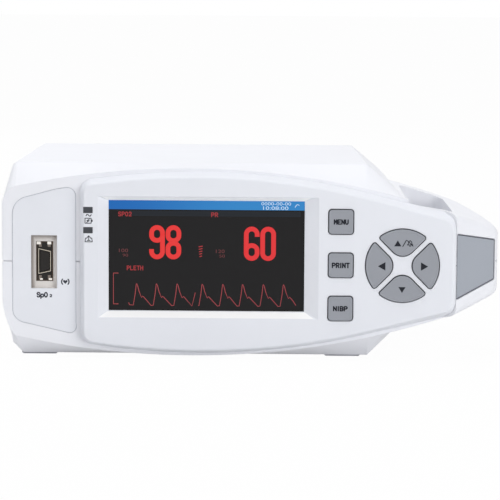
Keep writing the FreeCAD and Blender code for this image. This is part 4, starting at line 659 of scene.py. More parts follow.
# ---------------------------------------------------------------- mesh shop
BOWL = [(0.0, 1.0), (0.7, 1.0), (1.0, 0.84), (1.0, 0.62), (0.7, 0.46), (0.0, 0.46)]
BLOCK_LETTERS: dict[str, list[Path]] = {
    "2": [[(0.0, 0.78), (0.25, 1.0), (0.75, 1.0), (1.0, 0.78), (1.0, 0.58), (0.0, 0.0), (1.0, 0.0)]],
    "B": [[(0.0, 0.0), *BOWL], [(0.7, 0.46), (1.0, 0.34), (1.0, 0.14), (0.7, 0.0), (0.0, 0.0)]],
    "E": [[(1.0, 0.0), (0.0, 0.0), (0.0, 1.0), (1.0, 1.0)], [(0.0, 0.5), (0.8, 0.5)]],
    "H": [[(0.0, 0.0), (0.0, 1.0)], [(1.0, 0.0), (1.0, 1.0)], [(0.0, 0.5), (1.0, 0.5)]],
    "I": [[(0.5, 0.0), (0.5, 1.0)]],
    "L": [[(0.0, 1.0), (0.0, 0.0), (1.0, 0.0)]],
    "M": [[(0.0, 0.0), (0.0, 1.0), (0.5, 0.4), (1.0, 1.0), (1.0, 0.0)]],
    "N": [[(0.0, 0.0), (0.0, 1.0), (1.0, 0.0), (1.0, 1.0)]],
    "O": [[(0.3, 0.0), (0.0, 0.28), (0.0, 0.72), (0.3, 1.0), (0.7, 1.0), (1.0, 0.72), (1.0, 0.28),
           (0.7, 0.0), (0.3, 0.0)]],
    "P": [[(0.0, 0.0), *BOWL]],
    "R": [[(0.0, 0.0), *BOWL], [(0.5, 0.46), (1.0, 0.0)]],
    "S": [[(1.0, 0.82), (0.75, 1.0), (0.25, 1.0), (0.0, 0.82), (0.0, 0.66), (0.25, 0.52), (0.75, 0.48),
           (1.0, 0.34), (1.0, 0.18), (0.75, 0.0), (0.25, 0.0), (0.0, 0.18)]],
    "T": [[(0.0, 1.0), (1.0, 1.0)], [(0.5, 1.0), (0.5, 0.0)]],
    "U": [[(0.0, 1.0), (0.0, 0.22), (0.25, 0.0), (0.75, 0.0), (1.0, 0.22), (1.0, 1.0)]],
    "p": [[(0.0, -0.32), (0.0, 0.62)], [(0.0, 0.46), (0.3, 0.62), (0.75, 0.62), (1.0, 0.44), (1.0, 0.2),
                                         (0.75, 0.0), (0.3, 0.0), (0.0, 0.16)]],
}


class Facing(Enum):
    """Which way a flat piece looks: its local right, up and towards-the-viewer axes."""

    FRONT = ((1, 0, 0), (0, 0, 1), (0, -1, 0))
    REAR = ((-1, 0, 0), (0, 0, 1), (0, 1, 0))
    LEFT = ((0, -1, 0), (0, 0, 1), (-1, 0, 0))

    def frame(self, place: Vector) -> Matrix:
        """Matrix from the flat piece's millimetres to its place.

        Args:
            place: where the piece's middle comes to lie, in metres.

        Returns:
            The matrix.
        """
        right, up, out = (Vector(axis) for axis in self.value)
        turn = Matrix((right, up, out)).transposed().to_4x4()
        return Matrix.Translation(place) @ turn @ Matrix.Scale(MM, 4)


class MeshShop:
    """Turns bmeshes, words and strokes into named pieces that ride on a body."""

    layer = 0.0015          # millimetres between bars that cross
    ink = 0.03              # thickness of a printed line
    narrow_letter = 0.35    # width of an I, as a share of the other letters'
    merge = 1e-6            # metres within which a CAD mesh's points are one
    word_merge = 1e-5       # millimetres within which the points of words are one
    flat_sides = 8          # a face with more corners than this is broad and stays flat

    @staticmethod
    def piece(name: str, bm: bmesh.types.BMesh, material: bpy.types.Material | list[bpy.types.Material],
              body: str, slot: str, smooth: float | None = None) -> bpy.types.Object:
        """Makes a finished piece of a bmesh that is in place.

        Args:
            name: the piece's name.
            bm: its mesh, in metres, which is freed.
            material: its material, or one for each material number of its faces.
            body: the body it rides on.
            slot: the record's slot for its finish; not used.
            smooth: the angle in degrees up to which edges are shaded soft; broad faces stay flat.

        Returns:
            The new object.
        """
        mesh = bpy.data.meshes.new(name)
        bm.to_mesh(mesh)
        bm.free()
        for coat in material if isinstance(material, list) else [material]:
            mesh.materials.append(coat)
        made = bpy.data.objects.new(name, mesh)
        bpy.context.scene.collection.objects.link(made)
        if smooth is not None:
            mesh.shade_smooth()
            mesh.set_sharp_from_angle(angle=math.radians(smooth))
            for face in mesh.polygons:
                face.use_smooth = len(face.vertices) <= MeshShop.flat_sides
        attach(made, body)
        log.info("piece %s on %s: %d faces", name, body, len(mesh.polygons))
        return made

    @staticmethod
    def from_curve(curve: bpy.types.Curve) -> bmesh.types.BMesh:
        """Mesh of a curve or of words.

        Args:
            curve: the curve, which is removed.

        Returns:
            The mesh, in the curve's own units.
        """
        holder = bpy.data.objects.new("holder", curve)
        bpy.context.scene.collection.objects.link(holder)
        graph = bpy.context.evaluated_depsgraph_get()
        mesh = bpy.data.meshes.new_from_object(holder.evaluated_get(graph))
        bm = bmesh.new()
        bm.from_mesh(mesh)
        bpy.data.objects.remove(holder)
        bpy.data.curves.remove(curve)
        bpy.data.meshes.remove(mesh)
        return bm

    @classmethod
    def words(cls, text: str, width: float, height: float) -> bmesh.types.BMesh:
        """Words of a given size, centred on the origin.

        Args:
            text: the words.
            width: their width in millimetres.
            height: their height in millimetres.

        Returns:
            The mesh, in millimetres, facing up.
        """
        curve = bpy.data.curves.new("words", "FONT")
        curve.body = text
        curve.extrude = cls.ink / 2
        curve.resolution_u = 3
        bm = cls.from_curve(curve)
        low = Vector(min(v.co[axis] for v in bm.verts) for axis in range(3))
        high = Vector(max(v.co[axis] for v in bm.verts) for axis in range(3))
        bmesh.ops.translate(bm, vec=-(low + high) / 2, verts=bm.verts)
        bmesh.ops.scale(bm, vec=(width / (high.x - low.x), height / (high.y - low.y), 1.0),
                        verts=bm.verts)
        bmesh.ops.remove_doubles(bm, verts=bm.verts, dist=cls.word_merge)
        return bm

    @classmethod
    def strokes(cls, paths: list[Path], width: float, closed: bool = False) -> bmesh.types.BMesh:
        """Flat lines along paths.

        Args:
            paths: points in millimetres.
            width: of the line, in millimetres.
            closed: whether each path ends where it starts.

        Returns:
            The mesh, in millimetres, facing up.
        """
        curve = bpy.data.curves.new("strokes", "CURVE")
        curve.dimensions = "3D"
        curve.bevel_depth = width / 2
        curve.bevel_resolution = 0
        curve.use_fill_caps = not closed
        for path in paths:
            spline = curve.splines.new("POLY")
            spline.points.add(len(path) - 1)
            for point, (x, y) in zip(spline.points, path):
                point.co = (x, y, 0.0, 1.0)
            spline.use_cyclic_u = closed
        bm = cls.from_curve(curve)
        bmesh.ops.scale(bm, vec=(1.0, 1.0, cls.ink / width), verts=bm.verts)
        bmesh.ops.recalc_face_normals(bm, faces=bm.faces)
        return bm

    @classmethod
    def lines(cls, paths: list[Path], width: float) -> bmesh.types.BMesh:
        """Straight bars with round ends from point to point, for crisp lettering.

        Args:
            paths: points in millimetres.
            width: of the line, in millimetres.

        Returns:
            The mesh, in millimetres, facing up.
        """
        bars = []
        for path in paths:
            for (x0, y0), (x1, y1) in zip(path, path[1:]):
                length = math.hypot(x1 - x0, y1 - y0)
                bar = cls.slab(length + width, width, cls.ink, width * 0.48, 3)
                turn = math.degrees(math.atan2(y1 - y0, x1 - x0))
                lift = cls.ink / 2 + len(bars) * cls.layer
                bars.append(cls.moved(bar, (x0 + x1) / 2, (y0 + y1) / 2, lift, turn))
        return cls.join(*bars)

    @classmethod
    def letters(cls, text: str, width: float, height: float, line: float,
                space: float = 0.55) -> bmesh.types.BMesh:
        """Bold block letters, centred on the origin.

        Args:
            text: the letters.
            width: of the whole word, to the middle of its lines, in millimetres.
            height: of a capital, to the middle of its lines.
            line: width of the strokes.
            space: between two letters, as a share of a letter's width.

        Returns:
            The mesh, in millimetres, facing up.
        """
        shares = [cls.narrow_letter if letter == "I" else 1.0 for letter in text]
        unit = width / (sum(shares) + space * (len(text) - 1))
        start = -width / 2
        paths = []
        for letter, share in zip(text, shares):
            for path in BLOCK_LETTERS[letter]:
                paths.append([(start + x * share * unit, (y - 0.5) * height) for x, y in path])
            start += (share + space) * unit
        return cls.lines(paths, line)

    @staticmethod
    def slab(width: float, height: float, depth: float, corner: float = 0.0,
             segments: int = 4) -> bmesh.types.BMesh:
        """A flat block with rounded corners, its face at height 0 and its back below.

        Args:
            width: in millimetres.
            height: in millimetres.
            depth: in millimetres.
            corner: radius of its four corners.
            segments: pieces of each corner's arc.

        Returns:
            The mesh, in millimetres.
        """
        bm = bmesh.new()
        bmesh.ops.create_cube(bm, size=1.0, matrix=Matrix.Translation((0, 0, -depth / 2))
                              @ Matrix.Diagonal((width, height, depth, 1.0)))
        if corner:
            upright = [e for e in bm.edges if abs(e.verts[0].co.z - e.verts[1].co.z) > depth / 2]
            bmesh.ops.bevel(bm, geom=upright, offset=corner, offset_type="OFFSET", affect="EDGES",
                            segments=segments, profile=0.5, material=-1)
        return bm

    @staticmethod
    def panel(width: float, height: float) -> bmesh.types.BMesh:
        """One flat face round the origin.

        Args:
            width: in millimetres.
            height: in millimetres.

        Returns:
            The face, looking up.
        """
        bm = bmesh.new()
        bmesh.ops.create_grid(bm, x_segments=1, y_segments=1, size=0.5)
        bmesh.ops.scale(bm, vec=(width, height, 1.0), verts=bm.verts)
        return bm

    @staticmethod
    def inset(bm: bmesh.types.BMesh, thickness: float) -> bmesh.types.BMFace:
        """Insets a lone face from its outline.

        Args:
            bm: the mesh with the face.
            thickness: from the outline to the inner face.

        Returns:
            The inner face, which is the largest.
        """
        bmesh.ops.inset_region(bm, faces=list(bm.faces), thickness=thickness, use_boundary=True,
                               use_even_offset=True)
        return max(bm.faces, key=lambda face: face.calc_area())

    @staticmethod
    def walled(bm: bmesh.types.BMesh, thickness: float) -> bmesh.types.BMesh:
        """Makes an open sheet a closed wall.

        Args:
            bm: the sheet.
            thickness: of the wall, in the sheet's units.

        Returns:
            The same bmesh.
        """
        bmesh.ops.solidify(bm, geom=list(bm.faces), thickness=thickness)
        bmesh.ops.recalc_face_normals(bm, faces=bm.faces)
        return bm

    @staticmethod
    def new_points(result: dict) -> list[bmesh.types.BMVert]:
        """The points among what an operator made."""
        return [made for made in result["geom"] if isinstance(made, bmesh.types.BMVert)]

    @staticmethod
    def only(bm: bmesh.types.BMesh, faces: list[bmesh.types.BMFace]) -> None:
        """Deletes every other face, and the points that no face uses any more.

        Args:
            bm: the mesh.
            faces: those that stay.
        """
        kept = set(faces)
        bmesh.ops.delete(bm, geom=[f for f in bm.faces if f not in kept], context="FACES")
        bmesh.ops.delete(bm, geom=[v for v in bm.verts if not v.link_faces], context="VERTS")

    @classmethod
    def merged(cls, node: str) -> bmesh.types.BMesh:
        """A merged copy of a CAD node's mesh.

        Args:
            node: the node's name.

        Returns:
            The copy, in metres.
        """
        bm = bmesh.new()
        bm.from_mesh(frame["nodes"][node].data)
        bmesh.ops.remove_doubles(bm, verts=bm.verts, dist=cls.merge)
        return bm

    @staticmethod
    def join(*parts: bmesh.types.BMesh) -> bmesh.types.BMesh:
        """Makes several bmeshes one.

        Args:
            parts: the bmeshes, which are freed.

        Returns:
            The new bmesh.
        """
        whole = bmesh.new()
        for part in parts:
            mesh = bpy.data.meshes.new("part")
            part.to_mesh(mesh)
            part.free()
            whole.from_mesh(mesh)
            bpy.data.meshes.remove(mesh)
        return whole

    @staticmethod
    def moved(bm: bmesh.types.BMesh, x: float = 0.0, y: float = 0.0, z: float = 0.0,
              turn: float = 0.0) -> bmesh.types.BMesh:
        """Turns a bmesh in its own plane and then moves it, in its own units.

        Args:
            bm: the mesh.
            x: how far it moves to its right.
            y: how far it moves up.
            z: how far it moves forwards.
            turn: in degrees, anticlockwise.

        Returns:
            The same bmesh.
        """
        spin = Matrix.Rotation(math.radians(turn), 4, "Z")
        bmesh.ops.transform(bm, matrix=Matrix.Translation((x, y, z)) @ spin, verts=bm.verts)
        return bm

    @staticmethod
    def placed(bm: bmesh.types.BMesh, facing: Facing, place: Vector) -> bmesh.types.BMesh:
        """The bmesh, set from its own millimetres to its place on the object."""
        bmesh.ops.transform(bm, matrix=facing.frame(place), verts=bm.verts)
        return bm


def middle(node: str) -> Vector:
    """Middle of a CAD node's box."""
    low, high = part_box(node)
    return (low + high) / 2


def arc(x: float, y: float, radius: float, start: float, end: float, steps: int = 10,
        squash: float = 1.0) -> Path:
    """Points of an arc in millimetres, from one angle to another, in degrees."""
    angles = [math.radians(start + (end - start) * step / steps) for step in range(steps + 1)]
    return [(x + radius * math.cos(a), y + radius * math.sin(a) * squash) for a in angles]


# ---------------------------------------------------------------- display
@dataclass(frozen=True)
class Caption:
    """Words on the display, in millimetres: their size, and their middle right of and below its corner."""

    name: str
    text: str
    width: float
    height: float
    x: float
    y: float


@dataclass
class Display:
    """What the display shows: title bar, two readings, and the pulse wave, in millimetres."""

    side: float = 5.2                   # from the panel's side to the lit area
    top: float = 3.8                    # from the panel's top to the lit area
    bottom: float = 8.4                 # from the panel's bottom to the lit area
    bar_height: float = 4.5             # of the title bar
    strip_height: float = 2.6           # of the dark strip under it
    strip_side: float = 6.0             # by which the strip is shorter at each end
    strip_shift: float = 4.0            # by which the strip sits further right
    strip_drop: float = 6.4             # from the top to the strip's middle
    stroke: float = 2.3                 # width of the readings' lines
    digit_width: float = 7.6
    digit_height: float = 16.7
    digit_step: float = 7.95            # from one figure to the next
    bowl_high: float = -3.26            # centre of the upper arc of a 6's bowl
    loop_low: float = 3.17              # centre of the lower arc of an 8's upper loop
    loop_high: float = -2.83            # centre of the upper arc of its lower loop
    hook_end: float = 3.4               # where a 6's open hook ends
    squash: float = 0.9                 # height of those arcs against their width
    first_digits: tuple[float, float] = (19.7, 12.1)    # corner of the left reading
    second_digits: tuple[float, float] = (65.65, 12.5)  # corner of the right reading
    wave_peaks: tuple[float, ...] = (13.14, 22.84, 32.89, 45.1, 55.1, 64.7, 74.8, 84.6)
    wiped: int = 3                      # number of the peak before which the wave is wiped
    wave_shift: float = 0.4             # by which the whole wave sits further right
    wave_line: float = 0.36             # width of its line
    label_line: float = 0.4             # width of the letters' lines
    scale_place: tuple[float, float] = (2.3, 35.7)  # corner of the wave's scale
    scale_size: tuple[float, float] = (2.4, 15.1)
    ticks_place: tuple[float, float] = (44.7, 25.0)     # middle of the strength ticks
    ticks_line: float = 0.5             # width of a tick
    glass: float = 0.02                 # gap between the window and the marks
    print_depth: float = 0.02           # of the flat marks
    clock: tuple[Caption, ...] = (Caption("clock_upper", "0000-00-00", 14.4, 1.55, 81.2, 1.35),
                                  Caption("clock_lower", "10:08:00", 12.2, 1.7, 81.0, 3.45))
    limits: tuple[Caption, ...] = (Caption("limit_upper_left", "100", 4.4, 1.7, 7.2, 24.6),
                                   Caption("limit_lower_left", "90", 2.7, 1.4, 8.1, 26.9),
                                   Caption("limit_upper_right", "120", 4.2, 1.7, 54.2, 24.7),
                                   Caption("limit_lower_right", "50", 2.7, 1.4, 55.1, 27.0))
    labels: tuple[Caption, ...] = (Caption("label_oxygen", "SPO2", 6.1, 1.9, 7.9, 6.8),
                                   Caption("label_rate", "PR", 2.9, 1.9, 51.4, 6.9),
                                   Caption("label_wave", "PLETH", 7.6, 1.9, 12.8, 33.1))
    bright: bpy.types.Material = field(init=False)
    dim: bpy.types.Material = field(init=False)
    soft: bpy.types.Material = field(init=False)
    white: bpy.types.Material = field(init=False)

    def area(self) -> tuple[float, float, float, float]:
        """Edges of the lit area.

        Returns:
            Its left, right, low and high edge, in metres.
        """
        low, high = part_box("lcd_panel")
        return (low.x + self.side * MM, high.x - self.side * MM, low.z + self.bottom * MM,
                high.z - self.top * MM)

    def put(self, name: str, bm: bmesh.types.BMesh, ink: bpy.types.Material, x: float, y: float,
            lift: float = 0.0) -> None:
        """Places a flat mesh on the glass.

        Args:
            name: the piece's name.
            bm: the mesh in millimetres.
            ink: its material.
            x: from the lit area's left edge to the mesh's origin, in millimetres.
            y: from its top edge downwards.
            lift: how far it stands in front of the glass, on top of the plain gap.
        """
        left, _, _, high = self.area()
        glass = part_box("display_window")[0].y - (self.glass + lift) * MM
        place = Vector((left + x * MM, glass, high - y * MM))
        MeshShop.piece(name, MeshShop.placed(bm, Facing.FRONT, place), ink, "housing", "display_glass")

    def digit(self, figure: str) -> list[tuple[Path, bool]]:
        """Centre lines of a tall rounded figure.

        Args:
            figure: 0, 6, 8 or 9.

        Returns:
            Each path, and whether it is closed.
        """
        half = (self.digit_width - self.stroke) / 2
        tall = (self.digit_height - self.stroke) / 2
        straight = tall - half
        crown = arc(0, straight, half, 0, 180, 14)
        foot = arc(0, -straight, half, 180, 360, 14)
        if figure == "0":
            return [(crown + foot, True)]
        if figure == "8":
            waist = arc(0, self.loop_low, half, 180, 360, 12, self.squash)
            shoulder = arc(0, self.loop_high, half, 0, 180, 12, self.squash)
            return [(crown + waist, True), (shoulder + foot, True)]
        bowl = arc(0, self.bowl_high, half, 0, 180, 12, self.squash) + foot
        tail = [(half, self.hook_end)] + crown + [(-half, -straight)]
        if figure == "9":
            bowl = [(-x, -y) for x, y in bowl]
            tail = [(-x, -y) for x, y in tail]
        return [(bowl, True), (tail, False)]

    def reading(self, text: str, corner: tuple[float, float]) -> None:
        """Draws a two-figure reading.

        Args:
            text: the figures.
            corner: its upper left corner on the lit area.
        """
        for index, figure in enumerate(text):
            parts = [MeshShop.strokes([path], self.stroke, closed) for path, closed in self.digit(figure)]
            self.put(f"reading_{text}_{index}", MeshShop.join(*parts), self.bright,
                     corner[0] + self.digit_width / 2 + index * self.digit_step,
                     corner[1] + self.digit_height / 2)

    def wave(self) -> None:
        """Draws the pulse wave, which is wiped ahead of the newest beat."""
        shape = ((-1.55, 51.3), (-0.62, 45.6), (-0.12, 41.0), (0.12, 40.8), (0.55, 41.8), (1.25, 44.6),
                 (2.45, 47.6), (3.05, 46.9), (3.7, 47.5))
        runs: list[Path] = [[(9.3, 50.1), (9.75, 51.2)]]
        for index, peak in enumerate(self.wave_peaks):
            if index == self.wiped:
                runs[-1] += [(peak - 4.95, 51.6), (peak - 3.35, 45.0)]
                runs.append([(peak - 1.9, 51.4)])
            runs[-1] += [(peak + x, y) for x, y in shape]
            if index == len(self.wave_peaks) - 1:
                runs[-1] += [(peak + 4.9, 49.0), (peak + 6.1, 50.9)]
            elif index != self.wiped - 1:
                runs[-1] += [(self.wave_peaks[index + 1] - 2.6, 51.5)]
        flat = [[(x, -y) for x, y in run] for run in runs]
        self.put("pulse_wave", MeshShop.strokes(flat, self.wave_line), self.dim, self.wave_shift, 0)

    def inks(self) -> None:
        """Makes the inks that several marks share."""
        left, right, _, _ = self.area()
        self.bright = LitInk("reading_red", paint(233, 60, 58), paint(226, 56, 60), (left, right)).make()
        self.dim = LitInk("wave_red", paint(168, 74, 78), paint(158, 68, 74), (left, right)).make()
        self.soft = LitInk("label_red", paint(168, 56, 60), paint(160, 54, 58)).make()
        self.white = LitInk("clock_white", paint(206, 226, 246), paint(206, 226, 246)).make()

    def title(self) -> None:
        """Lays the title bar and the dark strip under it."""
        left, right, _, _ = self.area()
        width = (right - left) / MM
        blue = LitInk("title_blue", paint(30, 104, 182), paint(52, 134, 200),
                      (left, left + 0.7 * (right - left)))
        navy = LitInk("header_navy", paint(32, 36, 42), paint(32, 36, 42))
        bar = MeshShop.slab(width, self.bar_height, self.print_depth)
        self.put("title_bar", bar, blue.make(), width / 2, self.bar_height / 2)
        strip = MeshShop.slab(width - 2 * self.strip_side, self.strip_height, self.print_depth)
        self.put("header_strip", strip, navy.make(), width / 2 + self.strip_shift, self.strip_drop)

    def captions(self) -> None:
        """Writes the clock, the limits beside the readings, and the labels."""
        faint = LitInk("limit_red", paint(112, 60, 62), paint(112, 60, 62)).make()
        for group, ink in ((self.clock, self.white), (self.limits, faint)):
            for word in group:
                bm = MeshShop.words(word.text, word.width, word.height)
                self.put(word.name, bm, ink, word.x, word.y, self.print_depth)
        for word in self.labels:
            bm = MeshShop.letters(word.text, word.width, word.height, self.label_line)
            self.put(word.name, bm, self.soft, word.x, word.y, self.print_depth)

    def symbols(self) -> None:
        """Draws the mark by the clock, the wave's scale and the strength of the pulse."""
        hook = MeshShop.strokes([arc(0, 0, 0.9, 30, 170, 6) + [(-1.3, -0.5)]], 0.3)
        self.put("clock_mark", hook, self.white, 91.6, 2.6, self.print_depth)
        wide, tall = self.scale_size
        corners = [(wide, 0.0), (0.0, 0.0), (0.0, -tall), (wide, -tall)]
        bracket = MeshShop.strokes([corners], self.label_line)
        self.put("scale_bracket", bracket, self.dim, *self.scale_place)
        ticks = [[(-0.8 - 0.1 * step, 1.2 * step), (0.8 + 0.1 * step, 1.2 * step + 0.4)]
                 for step in range(-2, 3)]
        self.put("strength_ticks", MeshShop.strokes(ticks, self.ticks_line), self.soft, *self.ticks_place)

    def build(self) -> None:
        """Makes every mark on the display."""
        self.inks()
        self.title()
        self.captions()
        self.symbols()
        self.reading("98", self.first_digits)
        self.reading("60", self.second_digits)
        self.wave()


# ---------------------------------------------------------------- keys
class Sector(Enum):
    """The keys of the round pad, with the way each looks in degrees from the right."""

    RIGHT = 0
    UP = 90
    LEFT = 180
    DOWN = 270

    @property
    def key(self) -> str:
        """The key's plain name."""
        return self.name.lower()


@dataclass(frozen=True)
class Word:
    """A square key's printed word: its width and height in millimetres."""

    key: str
    text: str
    width: float
    height: float


@dataclass(frozen=True)
class Arrow:
    """A sector key's printed triangle, in millimetres: its middle from the pad's, and its size."""

    sector: Sector
    x: float
    y: float
    half: float
    length: float


@dataclass
class KeyPad:
    """Seven key caps with their printed legends, in millimetres."""

    cap_depth: float = 2.9              # of a cap
    size: float = 12.1                  # of a square key's solid
    recess: float = 0.12                # by which a cap is smaller than its solid, all round
    corner: float = 1.6                 # radius of a square key
    pad_radius: float = 17.9            # of the round pad
    pad_gap: float = 2.7                # from one quarter to the next
    apex: float = 6.5                   # how far a quarter's inner corner is rounded
    outer: float = 1.2                  # how far its two outer corners are rounded
    rim: float = 0.4                    # width of the raised rim
    dish: float = 0.16                  # depth of the hollow face
    edge: float = 0.4                   # radius of the face's edge
    shade_depth: float = 0.14          # down to which the cap keeps its own colour; lower faces carry painted shade
    print_proud: float = 0.015          # ink above the hollow face
    stroke: float = 0.64                # width of the letters' lines
    slash_line: float = 0.45            # width of the slash by the bell
    bell_line: float = 0.38             # width of the bell's lines
    bell_place: tuple[float, float] = (3.55, 11.0)  # from the pad's middle
    words: tuple[Word, ...] = (Word("menu", "MENU", 6.6, 2.0), Word("print", "PRINT", 8.1, 2.1),
                               Word("pressure", "NIBP", 6.5, 2.0))
    arrows: tuple[Arrow, ...] = (Arrow(Sector.RIGHT, 10.65, -0.25, 2.05, 3.5),
                                 Arrow(Sector.LEFT, -10.05, -0.25, 2.05, 3.6),
                                 Arrow(Sector.DOWN, -0.1, -11.75, 1.75, 2.9),
                                 Arrow(Sector.UP, -2.4, 10.95, 1.75, 2.9))
    ink: bpy.types.Material = field(init=False)

    def cap(self, bm: bmesh.types.BMesh) -> bmesh.types.BMesh:
        """Gives a flat key outline its depth, rounded edge, rim and dished face.

        Args:
            bm: one face, looking up.

        Returns:
            The cap, in millimetres, with its highest point at 0.
        """
        bmesh.ops.recalc_face_normals(bm, faces=bm.faces)
        for face in bm.faces:
            if face.normal.z < 0:
                face.normal_flip()
        lower = bmesh.ops.extrude_face_region(bm, geom=list(bm.faces), use_keep_orig=True)
        bmesh.ops.translate(bm, vec=(0, 0, -self.cap_depth), verts=MeshShop.new_points(lower))
        bmesh.ops.recalc_face_normals(bm, faces=bm.faces)
        rim = [e for e in bm.edges if all(abs(v.co.z) < 1e-6 for v in e.verts)]
        bmesh.ops.bevel(bm, geom=rim, offset=self.edge, offset_type="OFFSET", affect="EDGES", segments=4,
                        profile=0.5, material=-1, clamp_overlap=True)
        # The highest face is the key's own; the rounded edge is made of small ones.
        top = max(bm.faces, key=lambda face: face.calc_center_median().z * 100 + face.calc_area())
        # Faces low on the cap's sides take the second material: painted shade, standing in for the shade in
        # the gap round the key.
        for face in bm.faces:
            face.material_index = 0 if face.calc_center_median().z > -self.shade_depth else 1
        bmesh.ops.inset_region(bm, faces=[top], thickness=self.rim * 0.5, depth=0.0)
        bmesh.ops.inset_region(bm, faces=[top], thickness=self.rim, depth=-self.dish)
        return bm

    def square(self) -> bmesh.types.BMesh:
        """Outline of a square key.

        Returns:
            The outline round the key's middle, in millimetres.
        """
        bm = bmesh.new()
        bmesh.ops.create_grid(bm, x_segments=1, y_segments=1, size=self.size / 2 - self.recess)
        bmesh.ops.bevel(bm, geom=list(bm.verts), offset=self.corner, offset_type="OFFSET",
                        affect="VERTICES", segments=6, profile=0.5, material=-1)
        return bm

    @staticmethod
    def ends(bm: bmesh.types.BMesh) -> list[bmesh.types.BMVert]:
        """The two outer corners of a quarter that looks right."""
        return [max(bm.verts, key=lambda v: v.co.y - 0.01 * v.co.x),
                min(bm.verts, key=lambda v: v.co.y + 0.01 * v.co.x)]

    def quarter(self, angle: float) -> bmesh.types.BMesh:
        """Outline of one quarter of the round pad.

        Args:
            angle: which way the quarter looks, in degrees from the right.

        Returns:
            The outline round the pad's middle.
        """
        bm = bmesh.new()
        bmesh.ops.create_circle(bm, cap_ends=True, segments=96, radius=self.pad_radius - self.recess)
        for side in (-1, 1):
            normal = Vector((-1, side, 0)).normalized()
            point = -normal * (self.pad_gap / 2 + self.recess)
            bmesh.ops.bisect_plane(bm, geom=list(bm.verts) + list(bm.edges) + list(bm.faces),
                                   plane_co=point, plane_no=normal, clear_outer=True)
        tip = min(bm.verts, key=lambda v: v.co.x)
        ends = self.ends(bm)
        # Points close to an outer corner would spoil its rounding, so they join it.
        for end in ends:
            near = [v for v in bm.verts if v is not tip and (v.co - end.co).length < self.outer * 1.3]
            bmesh.ops.pointmerge(bm, verts=near, merge_co=end.co.copy())
        bmesh.ops.bevel(bm, geom=[tip], offset=self.apex, offset_type="OFFSET", affect="VERTICES",
                        segments=14, profile=0.5, material=-1)
        bmesh.ops.bevel(bm, geom=self.ends(bm), offset=self.outer, offset_type="OFFSET", affect="VERTICES",
                        segments=5, profile=0.5, material=-1)
        return MeshShop.moved(bm, turn=angle)

    def legend(self, name: str, body: str, bm: bmesh.types.BMesh, place: Vector) -> None:
        """Prints a mark on a key.

        Args:
            name: the mark's name.
            body: the key's body.
            bm: the mark in millimetres.
            place: the key's middle on its front plane.
        """
        spot = place + Vector((0, (self.dish - self.print_proud) * MM, 0))
        MeshShop.piece(name, MeshShop.placed(bm, Facing.FRONT, spot), self.ink, body, "key_plastic")

    @staticmethod
    def triangle(arrow: Arrow) -> bmesh.types.BMesh:
        """The filled triangle of an arrow, its tip towards the pad's outside.

        Args:
            arrow: its size and place.

        Returns:
            The mesh, in millimetres from the pad's middle.
        """
        bm = bmesh.new()
        bmesh.ops.create_cone(bm, cap_ends=True, segments=3, radius1=1.0, radius2=1.0, depth=0.02,
                              matrix=Matrix.Rotation(-math.pi / 2, 4, "Z"))
        # A triangle in a circle of radius 1 is 1.5 long, and sin 60 is half its width.
        bmesh.ops.scale(bm, vec=(arrow.length / 1.5, arrow.half / math.sin(math.radians(60)), 1.0),
                        verts=bm.verts)
        bmesh.ops.translate(bm, vec=(-arrow.length / 6, 0, 0), verts=bm.verts)
        return MeshShop.moved(bm, arrow.x, arrow.y, 0, arrow.sector.value)

    def muted_bell(self) -> bmesh.types.BMesh:
        """A bell that is struck through.

        Returns:
            The mesh, in millimetres.
        """
        bell = [(-1.3, -0.8), (-0.85, -0.3), (-0.75, 0.65), (0.0, 1.35), (0.75, 0.65), (0.85, -0.3),
                (1.3, -0.8), (-1.3, -0.8)]
        clapper = [(-0.3, -1.35), (0.3, -1.35)]
        strike = [(-1.4, 1.35), (1.4, -1.35)]
        return MeshShop.lines([bell, clapper, strike], self.bell_line)

    def put_cap(self, key: str, outline: bmesh.types.BMesh, place: Vector,
                finish: list[bpy.types.Material]) -> None:
        """Makes a key's cap in place of its CAD node.

        Args:
            key: the key's plain name.
            outline: its outline round the place.
            place: in metres, on the front plane of the caps.
            finish: the materials of its face and of its sides, the sides' one darker as painted shade.
        """
        cap = MeshShop.placed(self.cap(outline), Facing.FRONT, place)
        made = MeshShop.piece(f"{key}_cap", cap, finish, f"{key}_button", "key_plastic", 35)
        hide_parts(f"{key}_key")

    def build(self) -> None:
        """Makes the caps and their legends."""
        # The sides' finish is painted shade for the gap round each key.
        sides = MouldedPlastic("key_side_painted_shade", paint(96, 99, 106), roughness=0.6, wear=0.1)
        finish = [FINISHES["key_plastic"].make(), sides.make()]
        self.ink = PrintedInk("legend_black", paint(22, 24, 33)).make()
        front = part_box("menu_key")[0].y
        for word in self.words:
            place = middle(f"{word.key}_key")
            place.y = front
            self.put_cap(word.key, self.square(), place, finish)
            letters = MeshShop.letters(word.text, word.width, word.height, self.stroke)
            self.legend(f"{word.key}_legend", f"{word.key}_button", letters, place)
        pad = (middle("left_key") + middle("right_key")) / 2
        pad.y = front
        for sector in Sector:
            self.put_cap(sector.key, self.quarter(sector.value), pad, finish)
        for arrow in self.arrows:
            key = arrow.sector.key
            self.legend(f"{key}_arrow", f"{key}_button", self.triangle(arrow), pad)
        slash = MeshShop.lines([[(0.05, 9.5), (1.7, 12.45)]], self.slash_line)
        self.legend("up_slash", "up_button", slash, pad)
        self.legend("up_mute_mark", "up_button", MeshShop.moved(self.muted_bell(), *self.bell_place), pad)


